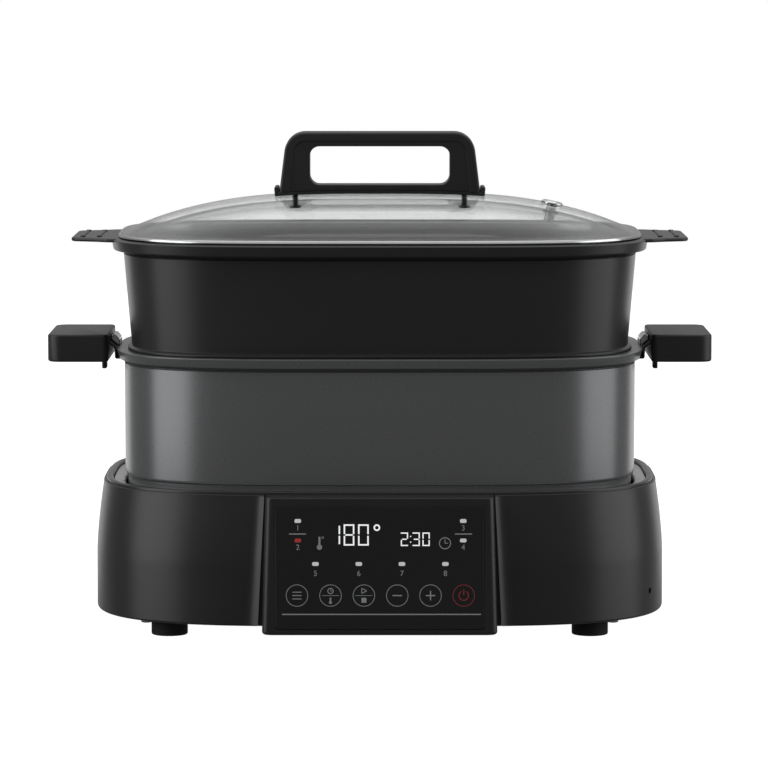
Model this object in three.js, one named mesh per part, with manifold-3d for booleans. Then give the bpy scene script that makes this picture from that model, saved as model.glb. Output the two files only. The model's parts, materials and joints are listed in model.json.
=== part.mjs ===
// Slow cooker: a heated base with a touch panel, a cooking pot with two side grips,
// a steamer pan that stacks on the pot, and a domed glass lid with a bridge handle.
// Millimetres, +Z up, front towards -Y, standing on Z = 0.
import * as THREE from 'three';
import { mergeVertices } from 'three/addons/utils/BufferGeometryUtils.js';
import Module from 'manifold-3d';

// Clearances
const fitGap = 0.3;
const cutOverrun = 1;
const boreGap = 0.3;

// Plan outline of the base at its widest: straight sides and soft superellipse corners.
// Every casing, pot and lid ring is this outline, drawn in by its own inset.
const bodyWidth = 380.4;
const bodyDepth = 277;
const frontStraight = 90.4;
const sideStraight = 23;
const cornerPower = 2.8;
const cornerSteps = 8;
const roundSteps = 12;
const smallSteps = 8;
const weldTolerance = 1e-4;

// Rubber feet
const footHeight = 11.2;
const footRadius = 12;
const footTreadRadius = 11.2;
const footStudRadius = 3.5;
const footScrewGapX = 14.6;
const footScrewGapY = 9.65;

// Base housing
const housingHeight = 84.2;
const housingWall = 3;
const housingStraight = 37.5;
const housingTaper = 4.7;
const taperPower = 1.5;
const taperSteps = 3;
const shoulderRadius = 1.8;
const edgeChamfer = 1.2;
const lipDrop = 2;
const lipThickness = 2.6;
const lipReach = 7.6;
const ventHoleRadius = 2.1;
const ventHoleHeight = 16;
const ventHoleTurnDegrees = 27;

// Top rim ring and well liner
const rimWidth = 4.4;
const rimHeight = 3.8;
const rimRound = 1.2;
const linerSheet = 1;
const linerLedge = 6.9;
const linerSlope = 1.1;
const linerFloorWidth = 15.4;
const wellDepth = 15.1;

// Heating plate, element and shield
const plateThickness = 12;
const plateMoat = 4.4;
const plateChamfer = 1.3;
const grooveDepth = 7.7;
const grooveInset = 21;
const elementRadius = 3.4;
const elementDrop = 28;
const terminalSpacing = 28;
const elementSides = 6;
const shieldSheet = 0.8;
const shieldDepth = 15;
const shieldFlange = 7;
const boltHeadRadius = 3.2;
const boltHeadHeight = 2.2;
const boltShankRadius = 2;
const boltLength = 9;

// Sprung temperature sensor in the middle of the plate
const sensorRadius = 15.5;
const sensorGap = 1.5;
const sensorSkin = 1.5;
const sensorSkirt = 10;
const sensorTravel = 2;
const holderWall = 1.5;
const springRadius = 8;
const springWireRadius = 0.8;
const springTurns = 5;
const springStepsPerTurn = 8;
const springSides = 5;

// Thermal fuse clipped under the plate
const fuseRadius = 4;
const fuseLength = 14;
const fuseTab = 2;
const fuseOffsetX = 45;

// Bottom cover
const coverThickness = 2.5;
const ventSlotWidth = 4;
const ventSlotLength = 40;
const ventSlotPitch = 10;
const ventSlotCount = 5;
const ventSlotOffsetX = 84;
const screwHeadRadius = 3.8;
const screwHeadHeight = 2;
const screwShankRadius = 1.8;
const bossRadius = 6;
const bossHeight = 26;
const bossOverlap = 1;

// Control panel
const panelProud = 12;
const panelHang = 4.2;
const panelDrop = 0.4;
const panelWidth = 151.4;
const panelTaper = 5.2;
const panelWall = 2.5;
const panelDepth = 28;
const panelChamfer = 2;
const panelGroove = 3;
const glassBorder = 5.6;
const glassRise = 4.1;
const glassDrop = 4.4;
const glassThickness = 1.6;
const windowMargin = 4;
const boardThickness = 1.6;
const boardPostLength = 6;
const boardPostRadius = 2.6;
const boardPinRadius = 1.2;
const boardPinTip = 1.5;
const boardMargin = 2;
const displayWidth = 80;
const displayHeight = 20;
const displayDrop = 5.6;

// Power board and what stands on it
const powerBoardWidth = 124;
const powerBoardDepth = 62;
const powerBoardOffsetX = 22;
const powerBoardRearGap = 32;
const postHeight = 8.4;
const postRadius = 4;
const relaySize = 19;
const relayHeight = 15;
const transformerSize = 32;
const transformerHeight = 24;
const coilInset = 4;
const leadRadius = 1.3;
const leadSides = 6;
const ribbonWidth = 16;
const ribbonThickness = 1.2;
const ribbonSteps = 14;

// Appliance inlet at the back
const inletOffsetX = 60;
const inletHeight = 42;
const inletFlangeWidth = 38;
const inletFlangeHeight = 28;
const inletFlangeThickness = 2;
const inletBodyWidth = 30;
const inletBodyHeight = 21;
const inletBodyDepth = 26;
const inletMouthWidth = 24.5;
const inletMouthHeight = 16;
const inletMouthDepth = 18;
const inletPinLength = 11.5;
const inletPinTail = 7;
const inletPinWidth = 2;
const inletPinHeight = 4;
const inletPinSpacing = 14;
const inletEarthLift = 4;

// Cooking pot
const potGap = 1.8;
const potHeight = 103.4;
const potFootHeight = 21.4;
const potFootStep = 2;
const potFlare = 0.2;
const potWall = 3.2;
const potFloor = 5.4;
const potFootRadius = 4;
const potEdgeRadius = 4;
const flangeReach = 5.2;
const flangeThickness = 6;
const flangeRound = 0.6;

// Pot grips, their brackets and ferrules
const gripGap = 4.9;
const gripReach = 40.7;
const gripWidth = 88;
const gripHeight = 18.4;
const gripRise = 9.7;
const gripCorner = 7;
const gripChamfer = 2.5;
const gripPegWidth = 3.2;
const gripPegLength = 11;
const gripPegDrop = 7.7;
const gripPegInset = 3.3;
const bracketSheet = 1.4;
const bracketWidth = 58;
const tongueWidth = 34;
const tongueReach = 25;
const tongueLift = 2;
const ferruleWidth = 30;
const ferruleHeight = 7.1;
const ferruleReach = 1.6;
const gripScrewReach = 14;

// Steamer pan
const nestGap = 1.9;
const nestDepth = 6;
const seatWidth = 0.8;
const seatHeight = 2.1;
const steamerHeight = 74.3;
const steamerFlare = 5;
const steamerWall = 2;
const steamerFloor = 2;
const steamerRimReach = 8;
const steamerRimHeight = 8.2;
const steamerRimRound = 2;
const steamSlotWidth = 6;
const steamSlotLength = 34;
const steamSlotPitchX = 44;
const steamSlotPitchY = 26;
const steamSlotColumns = 5;
const steamSlotRows = 4;
const tabReach = 28;
const tabRootWidth = 108;
const tabTipWidth = 78;
const tabTipCut = 7;
const tabThickness = 3;
const tabDrop = 0.6;
const tabRibWidth = 1.6;
const tabRibHeight = 0.9;
const tabRibLength = 62;
const tabRibSpacing = 11;
const tabRibInset = 8;

// Lid
const bandSet = 3.2;
const bandHeight = 1.8;
const bandSheet = 0.5;
const bandSkirt = 4.5;
const skirtGap = 0.5;
const glassWall = 4;
const glassEdge = 1.3;
const domeRise = 26.2;
const domePower = 2.95;
const domeSink = 1.4;
const domeShares = [0.96, 0.89, 0.79, 0.66, 0.48, 0.24];
const handleRise = 42;
const handleTopWidth = 125;
const handleLean = 5;
const handleDepth = 28;
const handleTopRadius = 13;
const handleChamfer = 2;
const legWidth = 15.2;
const barHeight = 10.2;
const holeRise = 6;
const holeRadius = 5;
const saddleThickness = 2.2;
const saddleLip = 2.7;
const saddleLipHeight = 5;
const saddleSteps = 12;
const lidScrewInset = 10.5;
const lidScrewReach = 14;
const washerRadius = 7;
const washerThickness = 1.5;
const steamVentOffset = 116;
const steamVentRadius = 7.5;
const steamVentStem = 3.2;
const steamVentBore = 1.5;
const steamVentCap = 2.4;
const steamVentDrop = 5;
const ventSealRadius = 5.4;

// Heights that follow from the sizes above
const halfWidth = bodyWidth / 2;
const halfDepth = bodyDepth / 2;
const cornerReachX = halfWidth - frontStraight / 2;
const cornerReachY = halfDepth - sideStraight / 2;
const housingBottom = footHeight;
const housingTop = housingBottom + housingHeight;
const panelBottom = housingBottom - panelHang;
const panelTop = housingTop - panelDrop;
const panelTopWidth = panelWidth - panelTaper;
const glassWidth = panelTopWidth - 2 * glassBorder;
const coverBottom = housingBottom + fitGap;
const coverTop = coverBottom + coverThickness;
const lipTop = housingTop - lipDrop;
const lipBottom = lipTop - lipThickness;
const plateTop = housingTop - wellDepth;
const plateBottom = plateTop - plateThickness;
const linerBottom = plateBottom - fitGap - linerSheet;
const shieldTop = linerBottom - fitGap;
const shieldFloor = shieldTop - shieldDepth;
const potBottom = plateTop + fitGap;
const flangeTop = potBottom + potHeight;
const flangeBottom = flangeTop - flangeThickness;
const gripTop = flangeTop + gripRise;
const gripBottom = gripTop - gripHeight;
const steamerSeat = flangeTop + fitGap;
const steamerTop = steamerSeat + steamerHeight;
const steamerBottom = flangeTop - nestDepth;
const bandBottom = steamerTop + fitGap;
const glassBottom = bandBottom + bandSheet + fitGap;
const powerBoardBottom = coverTop + postHeight + fitGap;
const powerBoardTop = powerBoardBottom + boardThickness;

// Insets that follow, from the outside inwards
const shoulderInset = housingTaper + shoulderRadius;
const rimInset = shoulderInset + fitGap;
const linerInset = rimInset + rimWidth + fitGap;
const throatInset = linerInset + linerLedge;
const wellInset = throatInset + linerSheet;
const lipInset = shoulderInset + lipReach;
const plateInset = wellInset + plateMoat;
const linerFloorInset = throatInset + linerFloorWidth;
const elementInset = plateInset + grooveInset + elementRadius + fitGap;
const potFootInset = wellInset + potGap;
const potBodyInset = potFootInset - potFootStep;
const potTopInset = potBodyInset - potFlare;
const flangeInset = potTopInset - flangeReach;
const gripInner = halfWidth - flangeInset + gripGap;
const gripOuter = gripInner + gripReach;
const mouthInset = potTopInset + potWall;
const nestInset = mouthInset + nestGap;
const seatInset = mouthInset - seatWidth;
const steamerFootInset = nestInset - fitGap;
const steamerTopInset = steamerFootInset - steamerFlare;
const steamerRimInset = steamerTopInset - steamerRimReach;
const steamerMouthInset = steamerTopInset + steamerWall;
const bandInset = steamerRimInset + bandSet;
const glassInset = bandInset + bandSheet + fitGap;

const wasm = await Module();
wasm.setup();

function finished(name, color, roughness, metalness) {
  return new THREE.MeshStandardMaterial({ name, color, roughness, metalness });
}

const casingBlack = finished('casing black', 0x202021, 0.45, 0);
const gripBlack = finished('grip black', 0x1c1c1d, 0.5, 0);
const rimBlack = finished('rim black', 0x262627, 0.35, 0);
const glossBlack = finished('panel black', 0x101011, 0.08, 0);
const linerSteel = finished('liner steel', 0xb9babb, 0.35, 1);
const bandSteel = finished('band steel', 0xd2d3d4, 0.2, 1);
const potGrey = finished('pot grey', 0x5a5b5c, 0.35, 0.8);
const steamerBlack = finished('steamer black', 0x252526, 0.4, 0.2);
const plateAlloy = finished('plate alloy', 0x8d8e90, 0.5, 1);
const elementSteel = finished('element steel', 0x5c5a57, 0.5, 1);
const shieldSteel = finished('shield steel', 0xa9aaab, 0.3, 1);
const clearGlass = finished('clear glass', 0xd9dddc, 0.03, 0);
const rubberBlack = finished('rubber black', 0x121212, 0.8, 0);
const siliconeGrey = finished('silicone grey', 0x3a3a3b, 0.7, 0);
const boardGreen = finished('board green', 0x2c5a3c, 0.55, 0);
const copperWire = finished('copper wire', 0xa86b3c, 0.4, 1);
const partWhite = finished('moulded white', 0xd8d8d4, 0.5, 0);
const screwSteel = finished('screw steel', 0x9c9d9f, 0.35, 1);

// A closed geometry as a solid that can be cut and joined
function solidOf(geometry) {
  const bare = geometry.clone();
  bare.deleteAttribute('normal');
  bare.deleteAttribute('uv');
  const merged = mergeVertices(bare, weldTolerance);
  return new wasm.Manifold(new wasm.Mesh({
    numProp: 3,
    vertProperties: new Float32Array(merged.attributes.position.array),
    triVerts: new Uint32Array(merged.index.array),
  }));
}

function geometryOf(solid) {
  const mesh = solid.getMesh();
  const geometry = new THREE.BufferGeometry();
  geometry.setAttribute('position', new THREE.BufferAttribute(mesh.vertProperties, 3));
  geometry.setIndex(new THREE.BufferAttribute(mesh.triVerts, 1));
  const flat = geometry.toNonIndexed();
  flat.computeVertexNormals();
  return flat;
}

function joined(first, ...others) {
  return geometryOf(others.reduce((sum, part) => sum.add(solidOf(part)), solidOf(first)));
}

function cut(first, ...cutters) {
  return geometryOf(cutters.reduce((rest, part) => rest.subtract(solidOf(part)), solidOf(first)));
}

function shared(first, second) {
  return geometryOf(solidOf(first).intersect(solidOf(second)));
}

// Turns a closed geometry's faces outwards, whichever way its profile was drawn
function facingOut(geometry) {
  const position = geometry.attributes.position;
  const index = geometry.index.array;
  const a = new THREE.Vector3();
  const b = new THREE.Vector3();
  const c = new THREE.Vector3();
  let volume = 0;
  for (let i = 0; i < index.length; i += 3) {
    a.fromBufferAttribute(position, index[i]);
    b.fromBufferAttribute(position, index[i + 1]);
    c.fromBufferAttribute(position, index[i + 2]);
    volume += a.dot(b.cross(c));
  }
  if (volume < 0) {
    for (let i = 0; i < index.length; i += 3) {
      [index[i + 1], index[i + 2]] = [index[i + 2], index[i + 1]];
    }
  }
  return geometry;
}

// A point on the outline's rear right corner, with its outward normal, at a turn from the side
function cornerPoint(turn) {
  const along = Math.cos(turn);
  const across = Math.sin(turn);
  const place = new THREE.Vector2(
    halfWidth - cornerReachX + cornerReachX * along ** (2 / cornerPower),
    halfDepth - cornerReachY + cornerReachY * across ** (2 / cornerPower),
  );
  const normal = new THREE.Vector2(
    along ** (2 - 2 / cornerPower) / cornerReachX,
    across ** (2 - 2 / cornerPower) / cornerReachY,
  ).normalize();
  return { place, normal };
}

// The outline's points, anticlockwise from the right side
function outlinePoints() {
  const quarter = [];
  for (let i = 0; i <= cornerSteps; i++) {
    quarter.push(cornerPoint((Math.PI / 2) * (i / cornerSteps)));
  }
  const mirrored = (points, x, y) => points.map(({ place, normal }) => ({
    place: new THREE.Vector2(place.x * x, place.y * y),
    normal: new THREE.Vector2(normal.x * x, normal.y * y),
  }));
  return [
    ...quarter,
    ...mirrored(quarter, -1, 1).reverse(),
    ...mirrored(quarter, -1, -1),
    ...mirrored(quarter, 1, -1).reverse(),
  ];
}

const outline = outlinePoints();

// One ring of points: the outline drawn in by an inset, then shrunk to a share about the centre
function planRing([inset, height, share = 1]) {
  return outline.map(({ place, normal }) => new THREE.Vector3(
    (place.x - normal.x * inset) * share,
    (place.y - normal.y * inset) * share,
    height,
  ));
}

// A body swept round the plan: its profile is a list of [inset, height, share].
// A closed profile gives a ring. A capped one gives a plate, pan or dome that meets the centre.
function planBody(profile, capped = false) {
  const rings = profile.map(planRing);
  const count = outline.length;
  const points = rings.flat();
  const faces = [];
  const last = capped ? rings.length - 1 : rings.length;
  for (let r = 0; r < last; r++) {
    const here = r * count;
    const above = ((r + 1) % rings.length) * count;
    for (let i = 0; i < count; i++) {
      const next = (i + 1) % count;
      faces.push(here + i, here + next, above + next);
      faces.push(here + i, above + next, above + i);
    }
  }
  if (capped) {
    const start = points.push(new THREE.Vector3(0, 0, profile[0][1])) - 1;
    const end = points.push(new THREE.Vector3(0, 0, profile.at(-1)[1])) - 1;
    const top = (rings.length - 1) * count;
    for (let i = 0; i < count; i++) {
      const next = (i + 1) % count;
      faces.push(start, next, i);
      faces.push(end, top + i, top + next);
    }
  }
  const geometry = new THREE.BufferGeometry().setFromPoints(points);
  geometry.setIndex(faces);
  return facingOut(geometry);
}

function box(xLow, xHigh, yLow, yHigh, zLow, zHigh) {
  const geometry = new THREE.BoxGeometry(xHigh - xLow, yHigh - yLow, zHigh - zLow);
  return geometry.translate((xLow + xHigh) / 2, (yLow + yHigh) / 2, (zLow + zHigh) / 2);
}

function rod(radius, zLow, zHigh, x = 0, y = 0, steps = roundSteps) {
  const geometry = new THREE.CylinderGeometry(radius, radius, zHigh - zLow, steps);
  return geometry.rotateX(Math.PI / 2).translate(x, y, (zLow + zHigh) / 2);
}

// A turned body round the Z axis: its profile is a list of [radius, height]
function turned(profile, steps = roundSteps) {
  const points = profile.map(([radius, height]) => new THREE.Vector2(radius, height));
  const geometry = mergeVertices(stripped(new THREE.LatheGeometry(points, steps)), weldTolerance);
  return facingOut(geometry.rotateX(Math.PI / 2));
}

function stripped(geometry) {
  geometry.deleteAttribute('normal');
  geometry.deleteAttribute('uv');
  return geometry;
}

function polygon(points) {
  return new THREE.Shape(points.map(([x, y]) => new THREE.Vector2(x, y)));
}

// Extrudes a shape drawn in X and Z from the front face to the back one
function slabY(shape, yLow, yHigh, bevel = 0) {
  const geometry = new THREE.ExtrudeGeometry(shape, {
    depth: yHigh - yLow - 2 * bevel,
    curveSegments: 3,
    bevelEnabled: bevel > 0,
    bevelThickness: bevel,
    bevelSize: bevel,
    bevelOffset: -bevel,
    bevelSegments: 1,
  });
  return geometry.rotateX(Math.PI / 2).translate(0, yHigh - bevel, 0);
}

// Extrudes a shape drawn in X and Y upwards
function slabZ(shape, zLow, zHigh, bevel = 0) {
  const geometry = new THREE.ExtrudeGeometry(shape, {
    depth: zHigh - zLow - 2 * bevel,
    curveSegments: 3,
    bevelEnabled: bevel > 0,
    bevelThickness: bevel,
    bevelSize: bevel,
    bevelOffset: -bevel,
    bevelSegments: 1,
  });
  return geometry.translate(0, 0, zLow + bevel);
}

function tube(curve, radius, steps, sides) {
  const section = [];
  for (let i = 0; i < sides; i++) {
    const turn = 2 * Math.PI * (i / sides);
    section.push([radius * Math.cos(turn), radius * Math.sin(turn)]);
  }
  return new THREE.ExtrudeGeometry(polygon(section), { steps, extrudePath: curve });
}

// A path that steps from one given point to the next, so a tube's rings stand on the points
class PointPath extends THREE.Curve {
  constructor(points) {
    super();
    this.points = points.map((point) => new THREE.Vector3(...point));
  }

  getPointAt(share, target = new THREE.Vector3()) {
    return target.copy(this.points[Math.round(share * (this.points.length - 1))]);
  }

  getTangentAt(share, target = new THREE.Vector3()) {
    const last = this.points.length - 1;
    const here = Math.round(share * last);
    const ahead = this.points[Math.min(here + 1, last)];
    const behind = this.points[Math.max(here - 1, 0)];
    return target.subVectors(ahead, behind).normalize();
  }
}

function smooth(points) {
  return new THREE.CatmullRomCurve3(points.map((point) => new THREE.Vector3(...point)), false, 'centripetal');
}

// A screw along +Z whose head's outer face is at the given height
function screw(headRadius, headHeight, shankRadius, x, y, headFace, tip) {
  return turned([
    [0, headFace],
    [headRadius, headFace],
    [headRadius, headFace + headHeight],
    [shankRadius, headFace + headHeight],
    [shankRadius, tip],
    [0, tip],
  ], smallSteps).translate(x, y, 0);
}

function mesh(name, geometry, material) {
  const made = new THREE.Mesh(geometry, material);
  made.name = name;
  return made;
}

const left = { name: 'left', sign: -1 };
const right = { name: 'right', sign: 1 };
const sides = [left, right];
const bossInset = housingWall + bossRadius - bossOverlap;
const bossCorner = cornerPoint(Math.PI / 4);
const bossPlace = bossCorner.place.clone().addScaledVector(bossCorner.normal, -bossInset);

// The same place in all four corners
function inCorners(x, y) {
  return [
    { name: 'front_left', x: -x, y: -y },
    { name: 'front_right', x, y: -y },
    { name: 'rear_left', x: -x, y },
    { name: 'rear_right', x, y },
  ];
}

const screwPlaces = inCorners(bossPlace.x, bossPlace.y);
const footPlaces = inCorners(bossPlace.x - footScrewGapX, bossPlace.y - footScrewGapY);

// How far the housing's outer face has drawn in at a height above its straight part
function housingOuter() {
  const straightTop = housingBottom + housingStraight;
  const taperTop = housingTop - shoulderRadius;
  const points = [[edgeChamfer, housingBottom], [0, housingBottom + edgeChamfer]];
  for (let i = 0; i <= taperSteps; i++) {
    const share = i / taperSteps;
    points.push([housingTaper * share ** taperPower, straightTop + (taperTop - straightTop) * share]);
  }
  const halfTurn = shoulderRadius * Math.SQRT1_2;
  points.push([shoulderInset - halfTurn, taperTop + halfTurn]);
  points.push([shoulderInset, housingTop]);
  return points;
}

// Half the panel's width at a height: its sides lean in towards the top
function panelHalf(height) {
  const share = (height - panelBottom) / (panelTop - panelBottom);
  return (panelWidth - panelTaper * share) / 2;
}

function panelShape(zLow, zHigh, margin) {
  return polygon([
    [-panelHalf(zLow) - margin, zLow],
    [panelHalf(zLow) + margin, zLow],
    [panelHalf(zHigh) + margin, zHigh],
    [-panelHalf(zHigh) - margin, zHigh],
  ]);
}

const panelFront = -halfDepth - panelProud;
const panelBack = panelFront + panelDepth;
const notchDepth = shoulderInset + fitGap;

function baseHousing() {
  const outer = housingOuter();
  const taperTop = outer.length - 3;
  const inner = outer.slice(1, taperTop + 1).reverse()
    .map(([inset, height]) => [inset + housingWall, Math.min(height, lipBottom)]);
  const shell = planBody([
    ...outer,
    [shoulderInset, lipTop],
    [lipInset, lipTop],
    [lipInset, lipBottom],
    ...inner,
    [housingWall, housingBottom],
  ]);
  const filled = planBody([...outer.slice(0, taperTop + 1), [housingTaper, lipBottom]], true);
  const reach = panelGroove + housingWall;
  const cheeks = cut(
    slabY(panelShape(housingBottom, lipBottom, reach), -halfDepth, panelBack),
    slabY(panelShape(panelBottom - cutOverrun, lipTop, panelGroove), -halfDepth - cutOverrun, panelBack + cutOverrun),
  );
  const bosses = screwPlaces.map(({ x, y }) => rod(bossRadius, coverTop + fitGap, coverTop + fitGap + bossHeight, x, y));
  const pilots = screwPlaces.map(({ x, y }) => rod(
    screwShankRadius + boreGap,
    coverTop,
    coverTop + bossHeight - boreGap,
    x,
    y,
    smallSteps,
  ));
  const notch = slabY(
    panelShape(panelBottom - cutOverrun, housingTop + cutOverrun, panelGroove),
    panelFront,
    -halfDepth + notchDepth,
  );
  const lowNotch = slabY(panelShape(panelBottom - cutOverrun, lipBottom, panelGroove), panelFront, panelBack);
  const inletHole = box(
    inletOffsetX - inletBodyWidth / 2 - fitGap,
    inletOffsetX + inletBodyWidth / 2 + fitGap,
    halfDepth - inletBodyDepth,
    halfDepth + cutOverrun,
    inletHeight - inletBodyHeight / 2 - fitGap,
    inletHeight + inletBodyHeight / 2 + fitGap,
  );
  return cut(
    joined(shell, shared(cheeks, filled), ...bosses),
    notch,
    lowNotch,
    inletHole,
    sideHole(),
    ...pilots,
  );
}

// The small round hole low on the right front corner
function sideHole() {
  const { place, normal } = cornerPoint(THREE.MathUtils.degToRad(ventHoleTurnDegrees));
  const drill = new THREE.CylinderGeometry(ventHoleRadius, ventHoleRadius, 4 * housingWall, roundSteps);
  const axis = new THREE.Vector3(normal.x, -normal.y, 0);
  drill.applyQuaternion(new THREE.Quaternion().setFromUnitVectors(new THREE.Vector3(0, 1, 0), axis));
  return drill.translate(place.x, -place.y, housingBottom + ventHoleHeight);
}

function topRim() {
  const low = lipTop + fitGap;
  const top = low + rimHeight;
  return planBody([
    [rimInset, low],
    [rimInset, top - rimRound],
    [rimInset + rimRound, top],
    [rimInset + rimWidth - rimRound, top],
    [rimInset + rimWidth, top - rimRound / 2],
    [rimInset + rimWidth, low],
  ]);
}

function wellLiner() {
  const low = lipTop + fitGap;
  const top = low + rimHeight - rimRound;
  const slopeEnd = top - linerSlope;
  return planBody([
    [linerInset, low],
    [linerInset, top],
    [throatInset, slopeEnd],
    [wellInset, slopeEnd - linerSheet],
    [wellInset, linerBottom + linerSheet],
    [linerFloorInset, linerBottom + linerSheet],
    [linerFloorInset, linerBottom],
    [throatInset, linerBottom],
    [throatInset, slopeEnd - linerSheet],
    [linerInset + linerSheet, top - linerSheet],
    [linerInset + linerSheet, low],
  ]);
}

const boltInset = throatInset + linerFloorWidth - shieldFlange / 2 - linerSheet;
const boltPlaces = [
  { name: 'left', x: -halfWidth + boltInset, y: 0 },
  { name: 'right', x: halfWidth - boltInset, y: 0 },
];
const sensorBore = sensorRadius + sensorGap;
const boltTip = plateBottom + boltLength - fitGap;

function heatingPlate() {
  const grooveOuter = plateInset + grooveInset;
  const grooveInner = grooveOuter + 2 * (elementRadius + fitGap);
  const plate = planBody([
    [plateInset + plateChamfer, plateTop],
    [plateInset, plateTop - plateChamfer],
    [plateInset, plateBottom],
    [grooveOuter, plateBottom],
    [grooveOuter, plateBottom + grooveDepth],
    [grooveInner, plateBottom + grooveDepth],
    [grooveInner, plateBottom],
  ], true);
  const holes = boltPlaces.map(({ x, y }) => rod(
    boltShankRadius + boreGap,
    plateBottom - cutOverrun,
    boltTip + boreGap,
    x,
    y,
    smallSteps,
  ));
  return cut(
    plate,
    rod(sensorBore, plateBottom - cutOverrun, plateTop + cutOverrun, 0, 0, 2 * roundSteps),
    ...holes,
  );
}

// The tubular element: one loop in the plate's groove whose two ends turn down at the back
function heatingElement() {
  const height = plateBottom + elementRadius + fitGap;
  const loop = planRing([elementInset, height]);
  const rear = halfDepth - elementInset;
  const turnDown = 2 * elementRadius;
  const start = outline.findIndex(({ place }) => place.x < 0);
  const ordered = [...loop.slice(start), ...loop.slice(0, start)].map(({ x, y, z }) => [x, y, z]);
  const end = terminalSpacing / 2;
  const bottom = plateBottom - elementDrop;
  const path = new PointPath([
    [-end, rear, bottom],
    [-end, rear, height - turnDown],
    [-end - turnDown, rear, height],
    ...ordered,
    [end + turnDown, rear, height],
    [end, rear, height - turnDown],
    [end, rear, bottom],
  ]);
  return tube(path, elementRadius, path.points.length - 1, elementSides);
}

const terminalY = halfDepth - elementInset;
const terminalLow = plateBottom - elementDrop;

function heatShield() {
  const flangeOuter = linerFloorInset - shieldFlange - linerSheet;
  const wall = flangeOuter + shieldFlange;
  const dish = planBody([
    [wall, shieldFloor],
    [wall, shieldTop - shieldSheet],
    [flangeOuter, shieldTop - shieldSheet],
    [flangeOuter, shieldTop],
    [wall + shieldSheet, shieldTop],
    [wall + shieldSheet, shieldFloor + shieldSheet],
  ], true);
  const cutters = boltPlaces.map(({ x, y }) => rod(
    boltShankRadius + boreGap,
    shieldTop - shieldSheet - cutOverrun,
    shieldTop + cutOverrun,
    x,
    y,
    smallSteps,
  ));
  sides.forEach(({ sign }) => cutters.push(rod(
    2 * elementRadius,
    shieldFloor - cutOverrun,
    shieldFloor + shieldSheet + cutOverrun,
    sign * terminalSpacing / 2,
    terminalY,
  )));
  return cut(dish, ...cutters);
}

function boredLiner() {
  const holes = boltPlaces.map(({ x, y }) => rod(
    boltShankRadius + boreGap,
    linerBottom - cutOverrun,
    linerBottom + linerSheet + cutOverrun,
    x,
    y,
    smallSteps,
  ));
  return cut(wellLiner(), ...holes);
}

const holderBottom = shieldFloor + shieldSheet + fitGap;
const holderRadius = sensorRadius - sensorSkin - sensorGap / 2;
const sensorUnderside = plateTop - sensorSkin;
const holderTop = sensorUnderside - sensorTravel - fitGap;
const springLow = holderBottom + holderWall + fitGap;
const springHigh = sensorUnderside - fitGap;

function sensorCap() {
  const skirt = plateTop - sensorSkirt;
  return turned([
    [0, sensorUnderside],
    [sensorRadius - sensorSkin, sensorUnderside],
    [sensorRadius - sensorSkin, skirt],
    [sensorRadius, skirt],
    [sensorRadius, plateTop - sensorSkin / 2],
    [sensorRadius - sensorSkin / 2, plateTop],
    [0, plateTop],
  ], 2 * roundSteps);
}

function sensorHolder() {
  return turned([
    [0, holderBottom],
    [holderRadius, holderBottom],
    [holderRadius, holderTop],
    [holderRadius - holderWall, holderTop],
    [holderRadius - holderWall, holderBottom + holderWall],
    [0, holderBottom + holderWall],
  ], 2 * roundSteps);
}

class Helix extends THREE.Curve {
  getPoint(share, target = new THREE.Vector3()) {
    const turn = 2 * Math.PI * springTurns * share;
    const low = springLow + springWireRadius;
    const high = springHigh - springWireRadius;
    return target.set(springRadius * Math.cos(turn), springRadius * Math.sin(turn), low + (high - low) * share);
  }
}

function sensorSpring() {
  return tube(new Helix(), springWireRadius, springTurns * springStepsPerTurn, springSides);
}

function thermalFuse() {
  const top = plateBottom - fitGap;
  const barrel = new THREE.CylinderGeometry(fuseRadius, fuseRadius, fuseLength, roundSteps);
  barrel.rotateZ(Math.PI / 2).translate(fuseOffsetX, 0, top - fuseTab / 2 - fuseRadius);
  const tab = box(
    fuseOffsetX - fuseLength / 2 - fuseTab,
    fuseOffsetX + fuseLength / 2 + fuseTab,
    -fuseRadius,
    fuseRadius,
    top - fuseTab,
    top,
  );
  return joined(tab, barrel);
}

const powerBoardY = halfDepth - powerBoardRearGap - powerBoardDepth / 2;
const postXShare = 0.4;
const postYShare = 0.36;
const postPlaces = [];
sides.forEach(({ name, sign }) => {
  [-1, 1].forEach((end) => postPlaces.push({
    name: `${end < 0 ? 'front' : 'rear'}_${name}`,
    x: powerBoardOffsetX + sign * postXShare * powerBoardWidth,
    y: powerBoardY + end * postYShare * powerBoardDepth,
  }));
});

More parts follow.
